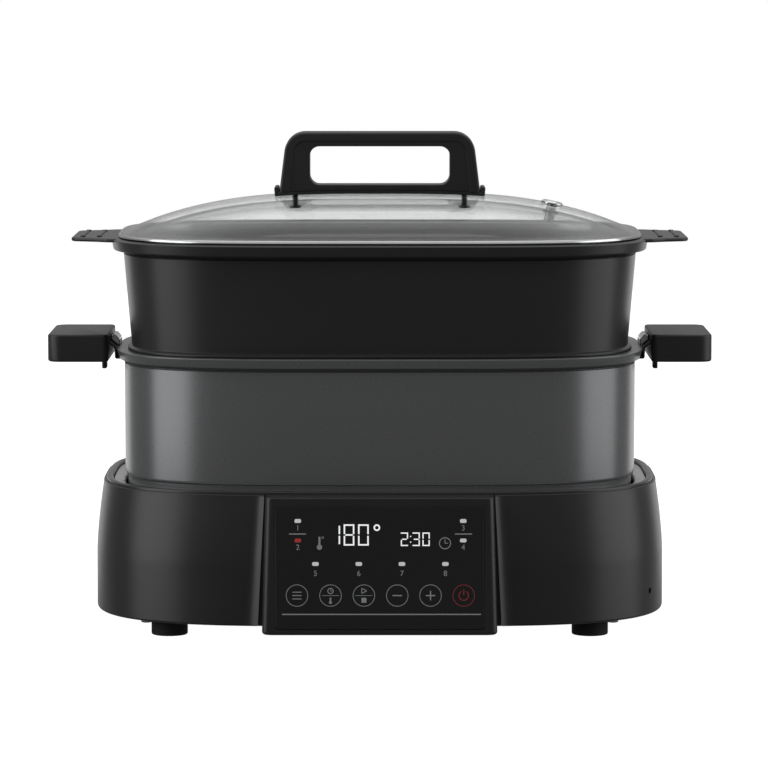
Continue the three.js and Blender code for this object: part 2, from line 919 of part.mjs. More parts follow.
function bottomCover() {
  const inset = housingWall + fitGap;
  const plate = planBody([
    [inset, coverBottom],
    [inset, coverTop],
  ], true);
  const posts = postPlaces.map(({ x, y }) => rod(postRadius, coverTop - fitGap, coverTop + postHeight, x, y));
  const pilots = postPlaces.map(({ x, y }) => rod(
    screwShankRadius + boreGap,
    coverTop,
    coverTop + postHeight + cutOverrun,
    x,
    y,
    smallSteps,
  ));
  const studHoles = footPlaces.map(({ x, y }) => rod(
    footStudRadius + boreGap,
    coverBottom - cutOverrun,
    coverTop + cutOverrun,
    x,
    y,
  ));
  const screwHoles = screwPlaces.map(({ x, y }) => rod(
    screwShankRadius + boreGap,
    coverBottom - cutOverrun,
    coverTop + cutOverrun,
    x,
    y,
    smallSteps,
  ));
  const slots = [];
  for (let i = 0; i < ventSlotCount; i++) {
    const x = (i - (ventSlotCount - 1) / 2) * ventSlotPitch - ventSlotOffsetX;
    slots.push(box(
      x - ventSlotWidth / 2,
      x + ventSlotWidth / 2,
      -ventSlotLength / 2,
      ventSlotLength / 2,
      coverBottom - cutOverrun,
      coverTop + cutOverrun,
    ));
  }
  const notch = slabY(
    panelShape(panelBottom - cutOverrun, coverTop + cutOverrun, panelGroove + housingWall + fitGap),
    panelFront,
    panelBack + fitGap,
  );
  return cut(joined(plate, ...posts), notch, ...pilots, ...studHoles, ...screwHoles, ...slots);
}

function foot() {
  return turned([
    [0, 0],
    [footTreadRadius, 0],
    [footRadius, footRadius - footTreadRadius],
    [footRadius, footHeight],
    [footStudRadius, footHeight],
    [footStudRadius, coverTop - fitGap],
    [0, coverTop - fitGap],
  ], 2 * roundSteps);
}

const glassLow = panelBottom + glassRise;
const glassHigh = panelTop - glassDrop;
const wallBack = panelFront + panelWall + glassThickness + fitGap;
const boardFront = wallBack + boardPostLength + fitGap;
const windowHalf = glassWidth / 2 - windowMargin;
const hollowTop = lipBottom - fitGap - panelWall;
const boardHalf = panelTopWidth / 2 - panelWall - boardMargin;
const boardLow = panelBottom + panelWall + boardMargin;
const boardHigh = hollowTop - boardMargin;
const boardPosts = [];
sides.forEach(({ sign }) => {
  [boardLow, boardHigh].forEach((height, level) => boardPosts.push({
    x: sign * (windowHalf + boardPostRadius),
    z: height + (level ? -1 : 1) * boardPostRadius * 3,
  }));
});

function postY(radius, yLow, yHigh, x, z, steps = roundSteps) {
  const geometry = new THREE.CylinderGeometry(radius, radius, yHigh - yLow, steps);
  return geometry.translate(x, (yLow + yHigh) / 2, z);
}

function panelBezel() {
  const body = slabY(panelShape(panelBottom, lipBottom - fitGap, 0), panelFront + panelChamfer, panelBack);
  const crown = slabY(panelShape(panelBottom, panelTop, 0), panelFront, -halfDepth + shoulderInset, panelChamfer);
  const hollow = slabY(
    panelShape(panelBottom + panelWall, hollowTop, -panelWall),
    wallBack,
    panelBack + cutOverrun,
  );
  const recess = box(
    -glassWidth / 2 - fitGap,
    glassWidth / 2 + fitGap,
    panelFront - cutOverrun,
    panelFront + glassThickness + fitGap,
    glassLow - fitGap,
    glassHigh + fitGap,
  );
  const opening = box(
    -windowHalf,
    windowHalf,
    panelFront - cutOverrun,
    wallBack + cutOverrun,
    glassLow + windowMargin,
    glassHigh - windowMargin,
  );
  const shell = cut(joined(body, crown), hollow, recess, opening);
  const pinTip = boardFront + boardThickness + boardPinTip;
  const posts = boardPosts.flatMap(({ x, z }) => [
    postY(boardPostRadius, wallBack - fitGap, boardFront - fitGap, x, z),
    postY(boardPinRadius, wallBack, pinTip, x, z, smallSteps),
  ]);
  return joined(shell, ...posts);
}

function panelGlass() {
  return box(
    -glassWidth / 2,
    glassWidth / 2,
    panelFront,
    panelFront + glassThickness,
    glassLow,
    glassHigh,
  );
}

function controlBoard() {
  const board = box(-boardHalf, boardHalf, boardFront, boardFront + boardThickness, boardLow, boardHigh);
  const holes = boardPosts.map(({ x, z }) => postY(
    boardPinRadius + boreGap,
    boardFront - cutOverrun,
    boardFront + boardThickness + cutOverrun,
    x,
    z,
    smallSteps,
  ));
  return cut(board, ...holes);
}

const displayLow = glassHigh - displayDrop - displayHeight;

function displayModule() {
  return box(
    -displayWidth / 2,
    displayWidth / 2,
    panelFront + glassThickness + 2 * fitGap,
    boardFront - fitGap,
    displayLow,
    displayLow + displayHeight,
  );
}

function powerBoard() {
  const board = box(
    powerBoardOffsetX - powerBoardWidth / 2,
    powerBoardOffsetX + powerBoardWidth / 2,
    powerBoardY - powerBoardDepth / 2,
    powerBoardY + powerBoardDepth / 2,
    powerBoardBottom,
    powerBoardTop,
  );
  const holes = postPlaces.map(({ x, y }) => rod(
    screwShankRadius + boreGap,
    powerBoardBottom - cutOverrun,
    powerBoardTop + cutOverrun,
    x,
    y,
    smallSteps,
  ));
  return cut(board, ...holes);
}

// A screw down through the power board into its post
function postScrew({ x, y }) {
  const made = screw(screwHeadRadius, screwHeadHeight, screwShankRadius, 0, 0, 0, postHeight);
  return made.rotateX(Math.PI).translate(x, y, powerBoardTop + fitGap + screwHeadHeight);
}

const onBoard = powerBoardTop + fitGap;
const relayX = powerBoardOffsetX - powerBoardWidth / 2 + 1.5 * relaySize;
const transformerX = powerBoardOffsetX + powerBoardWidth / 2 - transformerSize;

function powerRelay() {
  return box(
    relayX - relaySize / 2,
    relayX + relaySize / 2,
    powerBoardY - relaySize,
    powerBoardY,
    onBoard,
    onBoard + relayHeight,
  );
}

function transformer() {
  const half = transformerSize / 2;
  const core = box(
    transformerX - half + coilInset,
    transformerX + half - coilInset,
    powerBoardY - half,
    powerBoardY + half,
    onBoard,
    onBoard + transformerHeight,
  );
  const coil = box(
    transformerX - half,
    transformerX + half,
    powerBoardY - half + coilInset,
    powerBoardY + half - coilInset,
    onBoard + coilInset,
    onBoard + transformerHeight - coilInset,
  );
  return joined(core, coil);
}

const inletBack = halfDepth + fitGap + inletFlangeThickness;
const mouthFloor = inletBack - inletMouthDepth;
const pinPlaces = [
  { name: 'live', x: inletOffsetX - inletPinSpacing / 2, z: inletHeight - inletPinHeight / 2 },
  { name: 'neutral', x: inletOffsetX + inletPinSpacing / 2, z: inletHeight - inletPinHeight / 2 },
  { name: 'earth', x: inletOffsetX, z: inletHeight - inletPinHeight / 2 + inletEarthLift },
];

function pinBox({ x, z }, gap, yLow, yHigh) {
  return box(
    x - inletPinWidth / 2 - gap,
    x + inletPinWidth / 2 + gap,
    yLow,
    yHigh,
    z - inletPinHeight / 2 - gap,
    z + inletPinHeight / 2 + gap,
  );
}

function powerInlet() {
  const flange = box(
    inletOffsetX - inletFlangeWidth / 2,
    inletOffsetX + inletFlangeWidth / 2,
    inletBack - inletFlangeThickness,
    inletBack,
    inletHeight - inletFlangeHeight / 2,
    inletHeight + inletFlangeHeight / 2,
  );
  const body = box(
    inletOffsetX - inletBodyWidth / 2,
    inletOffsetX + inletBodyWidth / 2,
    inletBack - inletBodyDepth,
    inletBack - inletFlangeThickness / 2,
    inletHeight - inletBodyHeight / 2,
    inletHeight + inletBodyHeight / 2,
  );
  const mouth = box(
    inletOffsetX - inletMouthWidth / 2,
    inletOffsetX + inletMouthWidth / 2,
    mouthFloor,
    inletBack + cutOverrun,
    inletHeight - inletMouthHeight / 2,
    inletHeight + inletMouthHeight / 2,
  );
  const slots = pinPlaces.map((pin) => pinBox(
    pin,
    boreGap,
    inletBack - inletBodyDepth - cutOverrun,
    mouthFloor + cutOverrun,
  ));
  return cut(joined(flange, body), mouth, ...slots);
}

const pinBack = inletBack - inletBodyDepth - inletPinTail;

function inletPin(pin) {
  return pinBox(pin, 0, pinBack, mouthFloor + inletPinLength);
}

function lead(points) {
  const path = new PointPath(points);
  return tube(path, leadRadius, path.points.length - 1, leadSides);
}

// A wire from the tail of an inlet pin down to the power board
function inletLead(pin) {
  const low = onBoard;
  const boardEdge = powerBoardY + powerBoardDepth / 2 - 2 * leadRadius;
  const start = pinBack - fitGap;
  const bend = (start - boardEdge) / 4;
  return lead([
    [pin.x, start, pin.z],
    [pin.x, start - bend, pin.z],
    [pin.x, boardEdge + bend, pin.z - bend / 2],
    [pin.x, boardEdge, pin.z - 2 * bend],
    [pin.x, boardEdge, low + bend],
    [pin.x, boardEdge, low],
  ]);
}

// A wire from one end of the element down to the power board
function elementLead({ sign }) {
  const x = sign * terminalSpacing / 2;
  const start = terminalLow - fitGap;
  const bend = (start - onBoard) / 4;
  return lead([
    [x, terminalY, start],
    [x, terminalY, start - bend / 2],
    [x, terminalY - bend / 4, start - bend],
    [x, terminalY - bend, onBoard + bend],
    [x, terminalY - bend, onBoard],
  ]);
}

// The ribbon from the control board back to the power board
function boardRibbon() {
  const start = boardFront + boardThickness + fitGap;
  const end = powerBoardY - powerBoardDepth / 2 - fitGap;
  const high = (boardLow + boardHigh) / 3;
  const half = ribbonThickness / 2;
  const section = polygon([
    [-ribbonWidth / 2, -half],
    [ribbonWidth / 2, -half],
    [ribbonWidth / 2, half],
    [-ribbonWidth / 2, half],
  ]);
  const level = (powerBoardBottom + powerBoardTop) / 2;
  const span = end - start;
  const path = smooth([
    [0, start, high],
    [0, start + span / 8, high],
    [0, start + span / 3, level],
    [0, end - span / 3, level],
    [0, end, level],
  ]);
  return new THREE.ExtrudeGeometry(section, { steps: ribbonSteps, extrudePath: path });
}

function cookingPot() {
  const innerTop = mouthInset;
  const bodyLow = potBottom + potFootHeight;
  const footInner = potFootInset + potWall;
  return planBody([
    [potFootInset + potFootRadius, potBottom],
    [potFootInset, potBottom + potFootRadius],
    [potFootInset, bodyLow],
    [potBodyInset + potFootStep / 4, bodyLow + potEdgeRadius / 4],
    [potBodyInset, bodyLow + potEdgeRadius],
    [potTopInset, flangeBottom],
    [flangeInset + flangeRound, flangeBottom],
    [flangeInset, flangeBottom + flangeRound],
    [flangeInset, flangeTop - flangeRound],
    [flangeInset + flangeRound, flangeTop],
    [innerTop - flangeRound, flangeTop],
    [innerTop, flangeTop - flangeRound],
    [potBodyInset + potWall, bodyLow + potEdgeRadius],
    [footInner, bodyLow],
    [footInner + potFootRadius / 4, potBottom + potFloor + potFootRadius],
    [footInner + 2 * potFootRadius, potBottom + potFloor],
  ], true);
}

const clampInner = halfWidth - flangeInset + fitGap;
const clampOuter = clampInner + bracketSheet;
const tongueLow = flangeTop + tongueLift;
const tongueHigh = tongueLow + bracketSheet;
const gripScrewX = gripInner + gripScrewReach;
const gripScrewTip = tongueHigh + bracketSheet;

// The pieces of one side are drawn on the right and mirrored by their group for the left
function gripBracket() {
  const jawInner = halfWidth - potTopInset + fitGap;
  const jawHigh = flangeBottom - fitGap;
  const jawLow = jawHigh - bracketSheet;
  const armEnd = gripInner - fitGap;
  const clamp = slabY(polygon([
    [jawInner, jawLow],
    [clampOuter, jawLow],
    [clampOuter, flangeTop - bracketSheet / 2],
    [armEnd, tongueLow],
    [armEnd, tongueHigh],
    [clampInner, flangeTop],
    [clampInner, jawHigh],
    [jawInner, jawHigh],
  ]), -bracketWidth / 2, bracketWidth / 2);
  const tongue = box(
    armEnd - fitGap,
    gripInner + tongueReach,
    -tongueWidth / 2,
    tongueWidth / 2,
    tongueLow,
    tongueHigh,
  );
  const hole = rod(
    screwShankRadius + boreGap,
    tongueLow - cutOverrun,
    tongueHigh + cutOverrun,
    gripScrewX,
    0,
    smallSteps,
  );
  return cut(joined(clamp, tongue), hole);
}

function gripFerrule() {
  const inner = clampInner - ferruleReach;
  const outer = gripInner - fitGap;
  const low = flangeTop + fitGap;
  const top = low + ferruleHeight;
  const crown = (inner + outer) / 2;
  const bulge = ferruleHeight / 4;
  return slabY(polygon([
    [inner, low],
    [clampInner - fitGap, low],
    [outer, tongueHigh + 2 * fitGap],
    [outer, top - bulge],
    [crown + bulge / 2, top],
    [crown - bulge / 2, top],
    [inner, top - 2 * bulge],
  ]), -ferruleWidth / 2, ferruleWidth / 2);
}

function grip() {
  const half = gripWidth / 2;
  const plan = new THREE.Shape();
  plan.moveTo(gripInner, -half);
  plan.lineTo(gripOuter - gripCorner, -half);
  plan.absarc(gripOuter - gripCorner, -half + gripCorner, gripCorner, -Math.PI / 2, 0, false);
  plan.lineTo(gripOuter, half - gripCorner);
  plan.absarc(gripOuter - gripCorner, half - gripCorner, gripCorner, 0, Math.PI / 2, false);
  plan.lineTo(gripInner, half);
  const body = slabZ(plan, gripBottom, gripTop, gripChamfer);
  const peg = box(
    gripInner + gripPegInset,
    gripInner + gripPegInset + gripPegWidth,
    -gripPegLength / 2,
    gripPegLength / 2,
    gripBottom - gripPegDrop,
    gripBottom + gripChamfer + cutOverrun,
  );
  const slot = box(
    gripInner - cutOverrun,
    gripInner + tongueReach + fitGap,
    -tongueWidth / 2 - fitGap,
    tongueWidth / 2 + fitGap,
    tongueLow - fitGap,
    tongueHigh + fitGap,
  );
  const bore = rod(
    screwShankRadius + boreGap,
    gripBottom - cutOverrun,
    gripScrewTip + boreGap,
    gripScrewX,
    0,
    smallSteps,
  );
  const recess = rod(
    screwHeadRadius + boreGap,
    gripBottom - cutOverrun,
    gripBottom + screwHeadHeight + 2 * fitGap,
    gripScrewX,
    0,
  );
  return cut(joined(body, peg), slot, bore, recess);
}

function steamerPan() {
  const seatTop = steamerSeat + seatHeight;
  const rimBottom = steamerTop - steamerRimHeight;
  const neck = rimBottom - steamerRimRound / 2;
  const pan = planBody([
    [nestInset + 2 * steamerWall, steamerBottom],
    [nestInset, steamerBottom + steamerWall],
    [nestInset, steamerSeat],
    [seatInset, steamerSeat],
    [seatInset, seatTop],
    [steamerFootInset, seatTop + seatHeight / 4],
    [steamerTopInset, neck],
    [steamerRimInset + steamerRimRound, rimBottom],
    [steamerRimInset, rimBottom + steamerRimRound],
    [steamerRimInset, steamerTop - steamerRimRound / 2],
    [steamerRimInset + steamerRimRound / 2, steamerTop],
    [steamerMouthInset, steamerTop],
    [steamerFootInset + steamerWall, seatTop],
    [nestInset + steamerWall, steamerSeat],
    [nestInset + 3 * steamerWall, steamerBottom + steamerFloor],
  ], true);
  const slots = [];
  for (let column = 0; column < steamSlotColumns; column++) {
    for (let row = 0; row < steamSlotRows; row++) {
      const x = (column - (steamSlotColumns - 1) / 2) * steamSlotPitchX;
      const y = (row - (steamSlotRows - 1) / 2) * steamSlotPitchY;
      slots.push(box(
        x - steamSlotLength / 2,
        x + steamSlotLength / 2,
        y - steamSlotWidth / 2,
        y + steamSlotWidth / 2,
        steamerBottom - cutOverrun,
        steamerBottom + steamerFloor + cutOverrun,
      ));
    }
  }
  return cut(joined(pan, ...sides.flatMap(({ sign }) => tab(sign))), ...slots);
}

// One thin side tab with its two low ribs, on the side given by the sign of X
function tab(sign) {
  const rimSide = halfWidth - steamerRimInset;
  const root = rimSide - steamerRimReach / 2;
  const tip = rimSide + tabReach;
  const top = steamerTop - tabDrop;
  const rootHalf = tabRootWidth / 2;
  const tipHalf = tabTipWidth / 2;
  const middle = rimSide + tabReach / 3;
  const plan = [
    [root, -rootHalf],
    [middle, -(rootHalf + tipHalf) / 2],
    [tip - tabTipCut, -tipHalf],
    [tip, -tipHalf + tabTipCut],
    [tip, tipHalf - tabTipCut],
    [tip - tabTipCut, tipHalf],
    [middle, (rootHalf + tipHalf) / 2],
    [root, rootHalf],
  ].map(([x, y]) => [sign * x, y]);
  const pieces = [slabZ(polygon(plan), top - tabThickness, top)];
  for (let i = 0; i < 2; i++) {
    const x = sign * (rimSide + tabRibInset + i * tabRibSpacing);
    const end = tabRibLength / 2;
    pieces.push(box(x - tabRibWidth / 2, x + tabRibWidth / 2, -end, end, top - fitGap, top + tabRibHeight));
    [-end, end].forEach((y) => pieces.push(rod(
      tabRibWidth,
      top - fitGap,
      top + tabRibHeight + fitGap,
      x,
      y,
      smallSteps,
    )));
  }
  return pieces;
}

function lidBand() {
  const top = bandBottom + bandHeight;
  const shelf = bandBottom + bandSheet;
  const skirtOuter = steamerMouthInset + skirtGap;
  const skirtInner = skirtOuter + bandSheet;
  return planBody([
    [bandInset, bandBottom],
    [bandInset, top],
    [bandInset + bandSheet, top],
    [bandInset + bandSheet, shelf],
    [skirtInner, shelf],
    [skirtInner, bandBottom - bandSkirt],
    [skirtOuter, bandBottom - bandSkirt],
    [skirtOuter, bandBottom],
  ]);
}

const glassEdgeTop = glassBottom + glassEdge;
const domeFoot = glassEdgeTop - domeSink;
const domeHalfWidth = halfWidth - glassInset;

// The height of the glass's upper face at a share of the way out to its edge
function domeHeight(share) {
  return Math.max(domeFoot + domeRise * (1 - share ** domePower), glassEdgeTop);
}

const domeLine = [
  [1, glassEdgeTop],
  ...domeShares.map((share) => [share, domeHeight(share)]),
  [0, domeHeight(domeShares.at(-1))],
];

// The height of the faceted dome at a distance from the middle along X
function domeHeightAt(x) {
  const share = Math.abs(x) / domeHalfWidth;
  const next = Math.max(domeLine.findIndex(([place]) => place <= share), 1);
  const [outerShare, outerHeight] = domeLine[next - 1];
  const [innerShare, innerHeight] = domeLine[next];
  return innerHeight + (outerHeight - innerHeight) * ((share - innerShare) / (outerShare - innerShare));
}

const handleFootWidth = handleTopWidth + 2 * handleLean;
const handleTop = domeHeightAt(0) + handleRise;
const holeWidth = handleTopWidth - 2 * legWidth;
const holeTop = handleTop - barHeight;
const holeBottom = domeHeightAt(0) + holeRise;
const lidScrewX = handleFootWidth / 2 - lidScrewInset;

function lidGlass() {
  const upper = domeShares.map((share) => [glassInset, domeHeight(share), share]);
  const lower = domeShares
    .map((share) => [glassInset, Math.max(domeHeight(share) - glassWall, glassBottom), share])
    .reverse();
  const dome = planBody([
    ...lower,
    [glassInset, glassBottom],
    [glassInset, glassEdgeTop],
    ...upper,
  ], true);
  const screwHoles = sides.map(({ sign }) => rod(
    screwShankRadius + boreGap,
    domeHeightAt(lidScrewX) - glassWall - cutOverrun,
    domeHeightAt(lidScrewX) + cutOverrun,
    sign * lidScrewX,
    0,
  ));
  const ventHole = rod(steamVentStem + boreGap, -glassWall - cutOverrun, cutOverrun);
  return cut(dome, ...screwHoles, ventHole.applyMatrix4(ventPlace()));
}

// The steam vent stands square to the glass at its place on the dome
function ventPlace() {
  const step = steamVentRadius;
  const fall = domeHeightAt(steamVentOffset - step) - domeHeightAt(steamVentOffset + step);
  const tilt = Math.atan2(fall, 2 * step);
  const place = new THREE.Matrix4().makeTranslation(steamVentOffset, 0, domeHeightAt(steamVentOffset));
  return place.multiply(new THREE.Matrix4().makeRotationY(tilt));
}

const sealTop = -glassWall - fitGap;
const sealLow = sealTop - steamVentCap;

function steamVent() {
  const low = sealLow - fitGap - steamVentDrop;
  return turned([
    [steamVentBore, low],
    [steamVentStem, low],
    [steamVentStem, fitGap],
    [steamVentRadius, fitGap],
    [steamVentRadius - steamVentCap / 2, fitGap + steamVentCap],
    [steamVentBore, fitGap + steamVentCap],
    [steamVentBore, low],
  ]);
}

function ventSeal() {
  return turned([
    [steamVentStem + boreGap, sealLow],
    [ventSealRadius, sealLow],
    [ventSealRadius, sealTop],
    [steamVentStem + boreGap, sealTop],
    [steamVentStem + boreGap, sealLow],
  ]);
}

// Points along the dome under the handle, raised by a distance, from left to right
function saddleLine(half, raise) {
  const points = [];
  for (let i = 0; i <= saddleSteps; i++) {
    const x = half * (2 * (i / saddleSteps) - 1);
    points.push([x, domeHeightAt(x) + raise]);
  }
  return points;
}

const saddleHalf = handleFootWidth / 2 + fitGap + saddleLip;
const lidScrewTip = holeBottom + lidScrewReach;

function lidSaddle() {
  const under = saddleLine(saddleHalf, fitGap);
  const foot = handleFootWidth / 2 + fitGap;
  const over = saddleLine(foot, fitGap + saddleThickness).reverse();
  const lipTopHeight = domeHeightAt(saddleHalf) + saddleThickness + saddleLipHeight;
  const plate = slabY(polygon([
    ...under,
    [saddleHalf, lipTopHeight - saddleLip / 2],
    [saddleHalf - saddleLip / 2, lipTopHeight],
    [foot, lipTopHeight - saddleLip / 2],
    ...over,
    [-foot, lipTopHeight - saddleLip / 2],
    [-saddleHalf + saddleLip / 2, lipTopHeight],
    [-saddleHalf, lipTopHeight - saddleLip / 2],
  ]), -handleDepth / 2, handleDepth / 2);
  const holes = sides.map(({ sign }) => rod(
    screwShankRadius + boreGap,
    domeHeightAt(saddleHalf) - cutOverrun,
    domeHeightAt(0) + saddleThickness + cutOverrun,
    sign * lidScrewX,
    0,
    smallSteps,
  ));
  return cut(plate, ...holes);
}

function lidHandle() {
  const raise = saddleThickness + 2 * fitGap;
  const footHalf = handleFootWidth / 2;
  const topHalf = handleTopWidth / 2;
  const outer = new THREE.Shape();
  const under = saddleLine(footHalf, raise);
  outer.moveTo(...under[0]);
  under.slice(1).forEach((point) => outer.lineTo(...point));
  outer.lineTo(topHalf, handleTop - handleTopRadius);
  outer.absarc(topHalf - handleTopRadius, handleTop - handleTopRadius, handleTopRadius, 0, Math.PI / 2, false);
  outer.lineTo(-topHalf + handleTopRadius, handleTop);
  outer.absarc(-topHalf + handleTopRadius, handleTop - handleTopRadius, handleTopRadius, Math.PI / 2, Math.PI, false);
  outer.closePath();
  const body = slabY(outer, -handleDepth / 2, handleDepth / 2, handleChamfer);
  const corner = holeRadius;
  const half = holeWidth / 2;
  const hole = new THREE.Shape();
  hole.moveTo(-half + corner, holeBottom);
  hole.lineTo(half - corner, holeBottom);
  hole.absarc(half - corner, holeBottom + corner, corner, -Math.PI / 2, 0, false);
  hole.absarc(half - corner, holeTop - corner, corner, 0, Math.PI / 2, false);
  hole.absarc(-half + corner, holeTop - corner, corner, Math.PI / 2, Math.PI, false);
  hole.absarc(-half + corner, holeBottom + corner, corner, Math.PI, 1.5 * Math.PI, false);
  const opening = slabY(hole, -handleDepth / 2 - cutOverrun, handleDepth / 2 + cutOverrun);
  const bores = sides.map(({ sign }) => rod(
    screwShankRadius + boreGap,
    domeHeightAt(footHalf) - cutOverrun,
    lidScrewTip + boreGap,
    sign * lidScrewX,
    0,
    smallSteps,
  ));
  return cut(body, opening, ...bores);
}

const washerTop = domeHeightAt(lidScrewX + washerRadius) - glassWall - fitGap;

function lidWasher(x) {
  return turned([
    [screwShankRadius + boreGap, washerTop - washerThickness],
    [washerRadius, washerTop - washerThickness],
    [washerRadius, washerTop],
    [screwShankRadius + boreGap, washerTop],
    [screwShankRadius + boreGap, washerTop - washerThickness],
  ]).translate(x, 0, 0);
}

function lidScrew(x) {
  const headFace = washerTop - washerThickness - fitGap - screwHeadHeight;
  return screw(screwHeadRadius, screwHeadHeight, screwShankRadius, x, 0, headFace, lidScrewTip);
}

function baseGroup() {
  const group = new THREE.Group();
  group.add(
    mesh('base_housing', baseHousing(), casingBlack),
    mesh('top_rim', topRim(), rimBlack),
    mesh('well_liner', boredLiner(), linerSteel),
    mesh('heating_plate', heatingPlate(), plateAlloy),
    mesh('heating_element', heatingElement(), elementSteel),
    mesh('heat_shield', heatShield(), shieldSteel),
    mesh('sensor_holder', sensorHolder(), shieldSteel),
    mesh('sensor_spring', sensorSpring(), screwSteel),
    mesh('sensor_cap', sensorCap(), plateAlloy),
    mesh('thermal_fuse', thermalFuse(), partWhite),
    mesh('bottom_cover', bottomCover(), casingBlack),
    mesh('panel_bezel', panelBezel(), casingBlack),
    mesh('panel_glass', panelGlass(), glossBlack),
    mesh('control_board', controlBoard(), boardGreen),
    mesh('display_module', displayModule(), partWhite),
    mesh('power_board', powerBoard(), boardGreen),
    mesh('power_relay', powerRelay(), partWhite),
    mesh('transformer', transformer(), copperWire),
    mesh('board_ribbon', boardRibbon(), siliconeGrey),
    mesh('power_inlet', powerInlet(), gripBlack),
  );
  footPlaces.forEach(({ name, x, y }) => {
    const made = mesh(`foot_${name}`, foot(), rubberBlack);
    made.position.set(x, y, 0);
    group.add(made);
  });
  screwPlaces.forEach(({ name, x, y }) => {
    const headFace = coverBottom - fitGap - screwHeadHeight;
    const tip = coverTop + bossHeight - 2 * boreGap;
    const made = screw(screwHeadRadius, screwHeadHeight, screwShankRadius, x, y, headFace, tip);
    group.add(mesh(`cover_screw_${name}`, made, screwSteel));
  });
  boltPlaces.forEach(({ name, x, y }) => {
    const headFace = shieldTop - shieldSheet - fitGap - boltHeadHeight;
    const made = screw(boltHeadRadius, boltHeadHeight, boltShankRadius, x, y, headFace, boltTip);
    group.add(mesh(`plate_bolt_${name}`, made, screwSteel));
  });
  postPlaces.filter(({ name }) => name === 'front_left' || name === 'rear_right')
    .forEach((post) => group.add(mesh(`board_screw_${post.name}`, postScrew(post), screwSteel)));
  pinPlaces.forEach((pin) => group.add(mesh(`inlet_pin_${pin.name}`, inletPin(pin), screwSteel)));
  pinPlaces.filter(({ name }) => name !== 'earth')
    .forEach((pin) => group.add(mesh(`inlet_lead_${pin.name}`, inletLead(pin), siliconeGrey)));
  sides.forEach((side) => group.add(mesh(`element_lead_${side.name}`, elementLead(side), siliconeGrey)));
  return group;
}

function potGroup() {
  const group = new THREE.Group();
  group.add(mesh('cooking_pot', cookingPot(), potGrey));
  sides.forEach(({ name, sign }) => {
    const side = new THREE.Group();
    side.scale.x = sign;
    side.add(
      mesh(`grip_${name}`, grip(), gripBlack),
      mesh(`grip_bracket_${name}`, gripBracket(), rimBlack),
      mesh(`grip_ferrule_${name}`, gripFerrule(), bandSteel),
    );
    const headFace = gripBottom + fitGap;
    const made = screw(screwHeadRadius, screwHeadHeight, screwShankRadius, gripScrewX, 0, headFace, gripScrewTip);
    side.add(mesh(`grip_screw_${name}`, made, screwSteel));
    group.add(side);
  });
  return group;
}

function lidGroup() {
  const group = new THREE.Group();
  group.add(
    mesh('lid_glass', lidGlass(), clearGlass),
    mesh('lid_band', lidBand(), bandSteel),
    mesh('lid_handle', lidHandle(), gripBlack),
    mesh('lid_saddle', lidSaddle(), gripBlack),
  );
  sides.forEach(({ name, sign }) => {
    const x = sign * lidScrewX;
    group.add(
      mesh(`lid_washer_${name}`, lidWasher(x), siliconeGrey),
      mesh(`lid_screw_${name}`, lidScrew(x), screwSteel),
    );
  });
  const vent = new THREE.Group();
  vent.applyMatrix4(ventPlace());
  vent.add(
    mesh('steam_vent', steamVent(), bandSteel),
    mesh('vent_seal', ventSeal(), siliconeGrey),
  );
  group.add(vent);
  return group;
}

// The origin lies on the table, under the middle of the whole cooker
const cooker = new THREE.Group();
cooker.add(baseGroup(), potGroup(), mesh('steamer_pan', steamerPan(), steamerBlack), lidGroup());
cooker.position.y = -(panelFront + inletBack) / 2;

export default cooker;
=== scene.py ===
# Slow cooker: fine pieces, materials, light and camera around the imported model.
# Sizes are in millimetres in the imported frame: +Z up, -Y to the front.
import json
import math

import bpy
from mathutils import Matrix, Vector


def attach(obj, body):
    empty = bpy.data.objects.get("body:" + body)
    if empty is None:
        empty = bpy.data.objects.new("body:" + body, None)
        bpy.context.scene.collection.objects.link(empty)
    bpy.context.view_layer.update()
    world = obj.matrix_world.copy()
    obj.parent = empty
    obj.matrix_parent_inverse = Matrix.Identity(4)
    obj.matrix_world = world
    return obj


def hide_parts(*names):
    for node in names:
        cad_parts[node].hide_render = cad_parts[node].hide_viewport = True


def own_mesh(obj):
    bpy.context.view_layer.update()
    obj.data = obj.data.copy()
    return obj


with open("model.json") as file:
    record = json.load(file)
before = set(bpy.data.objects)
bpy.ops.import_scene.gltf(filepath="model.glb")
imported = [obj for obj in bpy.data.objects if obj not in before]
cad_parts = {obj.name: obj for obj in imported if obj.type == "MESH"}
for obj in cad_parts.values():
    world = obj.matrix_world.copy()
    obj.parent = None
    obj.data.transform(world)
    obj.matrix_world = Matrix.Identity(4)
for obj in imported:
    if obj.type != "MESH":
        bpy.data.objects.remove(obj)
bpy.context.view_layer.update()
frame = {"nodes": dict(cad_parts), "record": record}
nodes = frame["nodes"]
print("frame loaded:", len(nodes), "nodes")

mm = 0.001
middleY = 4.85  # the plan's centre lies this far behind the origin
amid = (0, middleY, 0)

# Camera, fitted to the photograph
view = {"place": (0.002808, -3.053208, 0.444879), "pitch": 84.614, "lens": 212.578, "sensor": 36}

cameraData = bpy.data.cameras.new("camera")
cameraData.lens = view["lens"]
cameraData.sensor_width = view["sensor"]
cameraData.clip_end = 100
camera = bpy.data.objects.new("camera", cameraData)
camera.location = view["place"]
camera.rotation_euler = (math.radians(view["pitch"]), 0, 0)
bpy.context.scene.collection.objects.link(camera)
bpy.context.scene.camera = camera
bpy.context.scene.view_settings.view_transform = "Standard"

# The plan of every ring: straight sides and soft superellipse corners
plan = {
    "halfWidth": 190.2,
    "halfDepth": 138.5,
    "frontStraight": 45.2,
    "sideStraight": 11.5,
    "power": 2.8,
    "cornerSteps": 30,
}


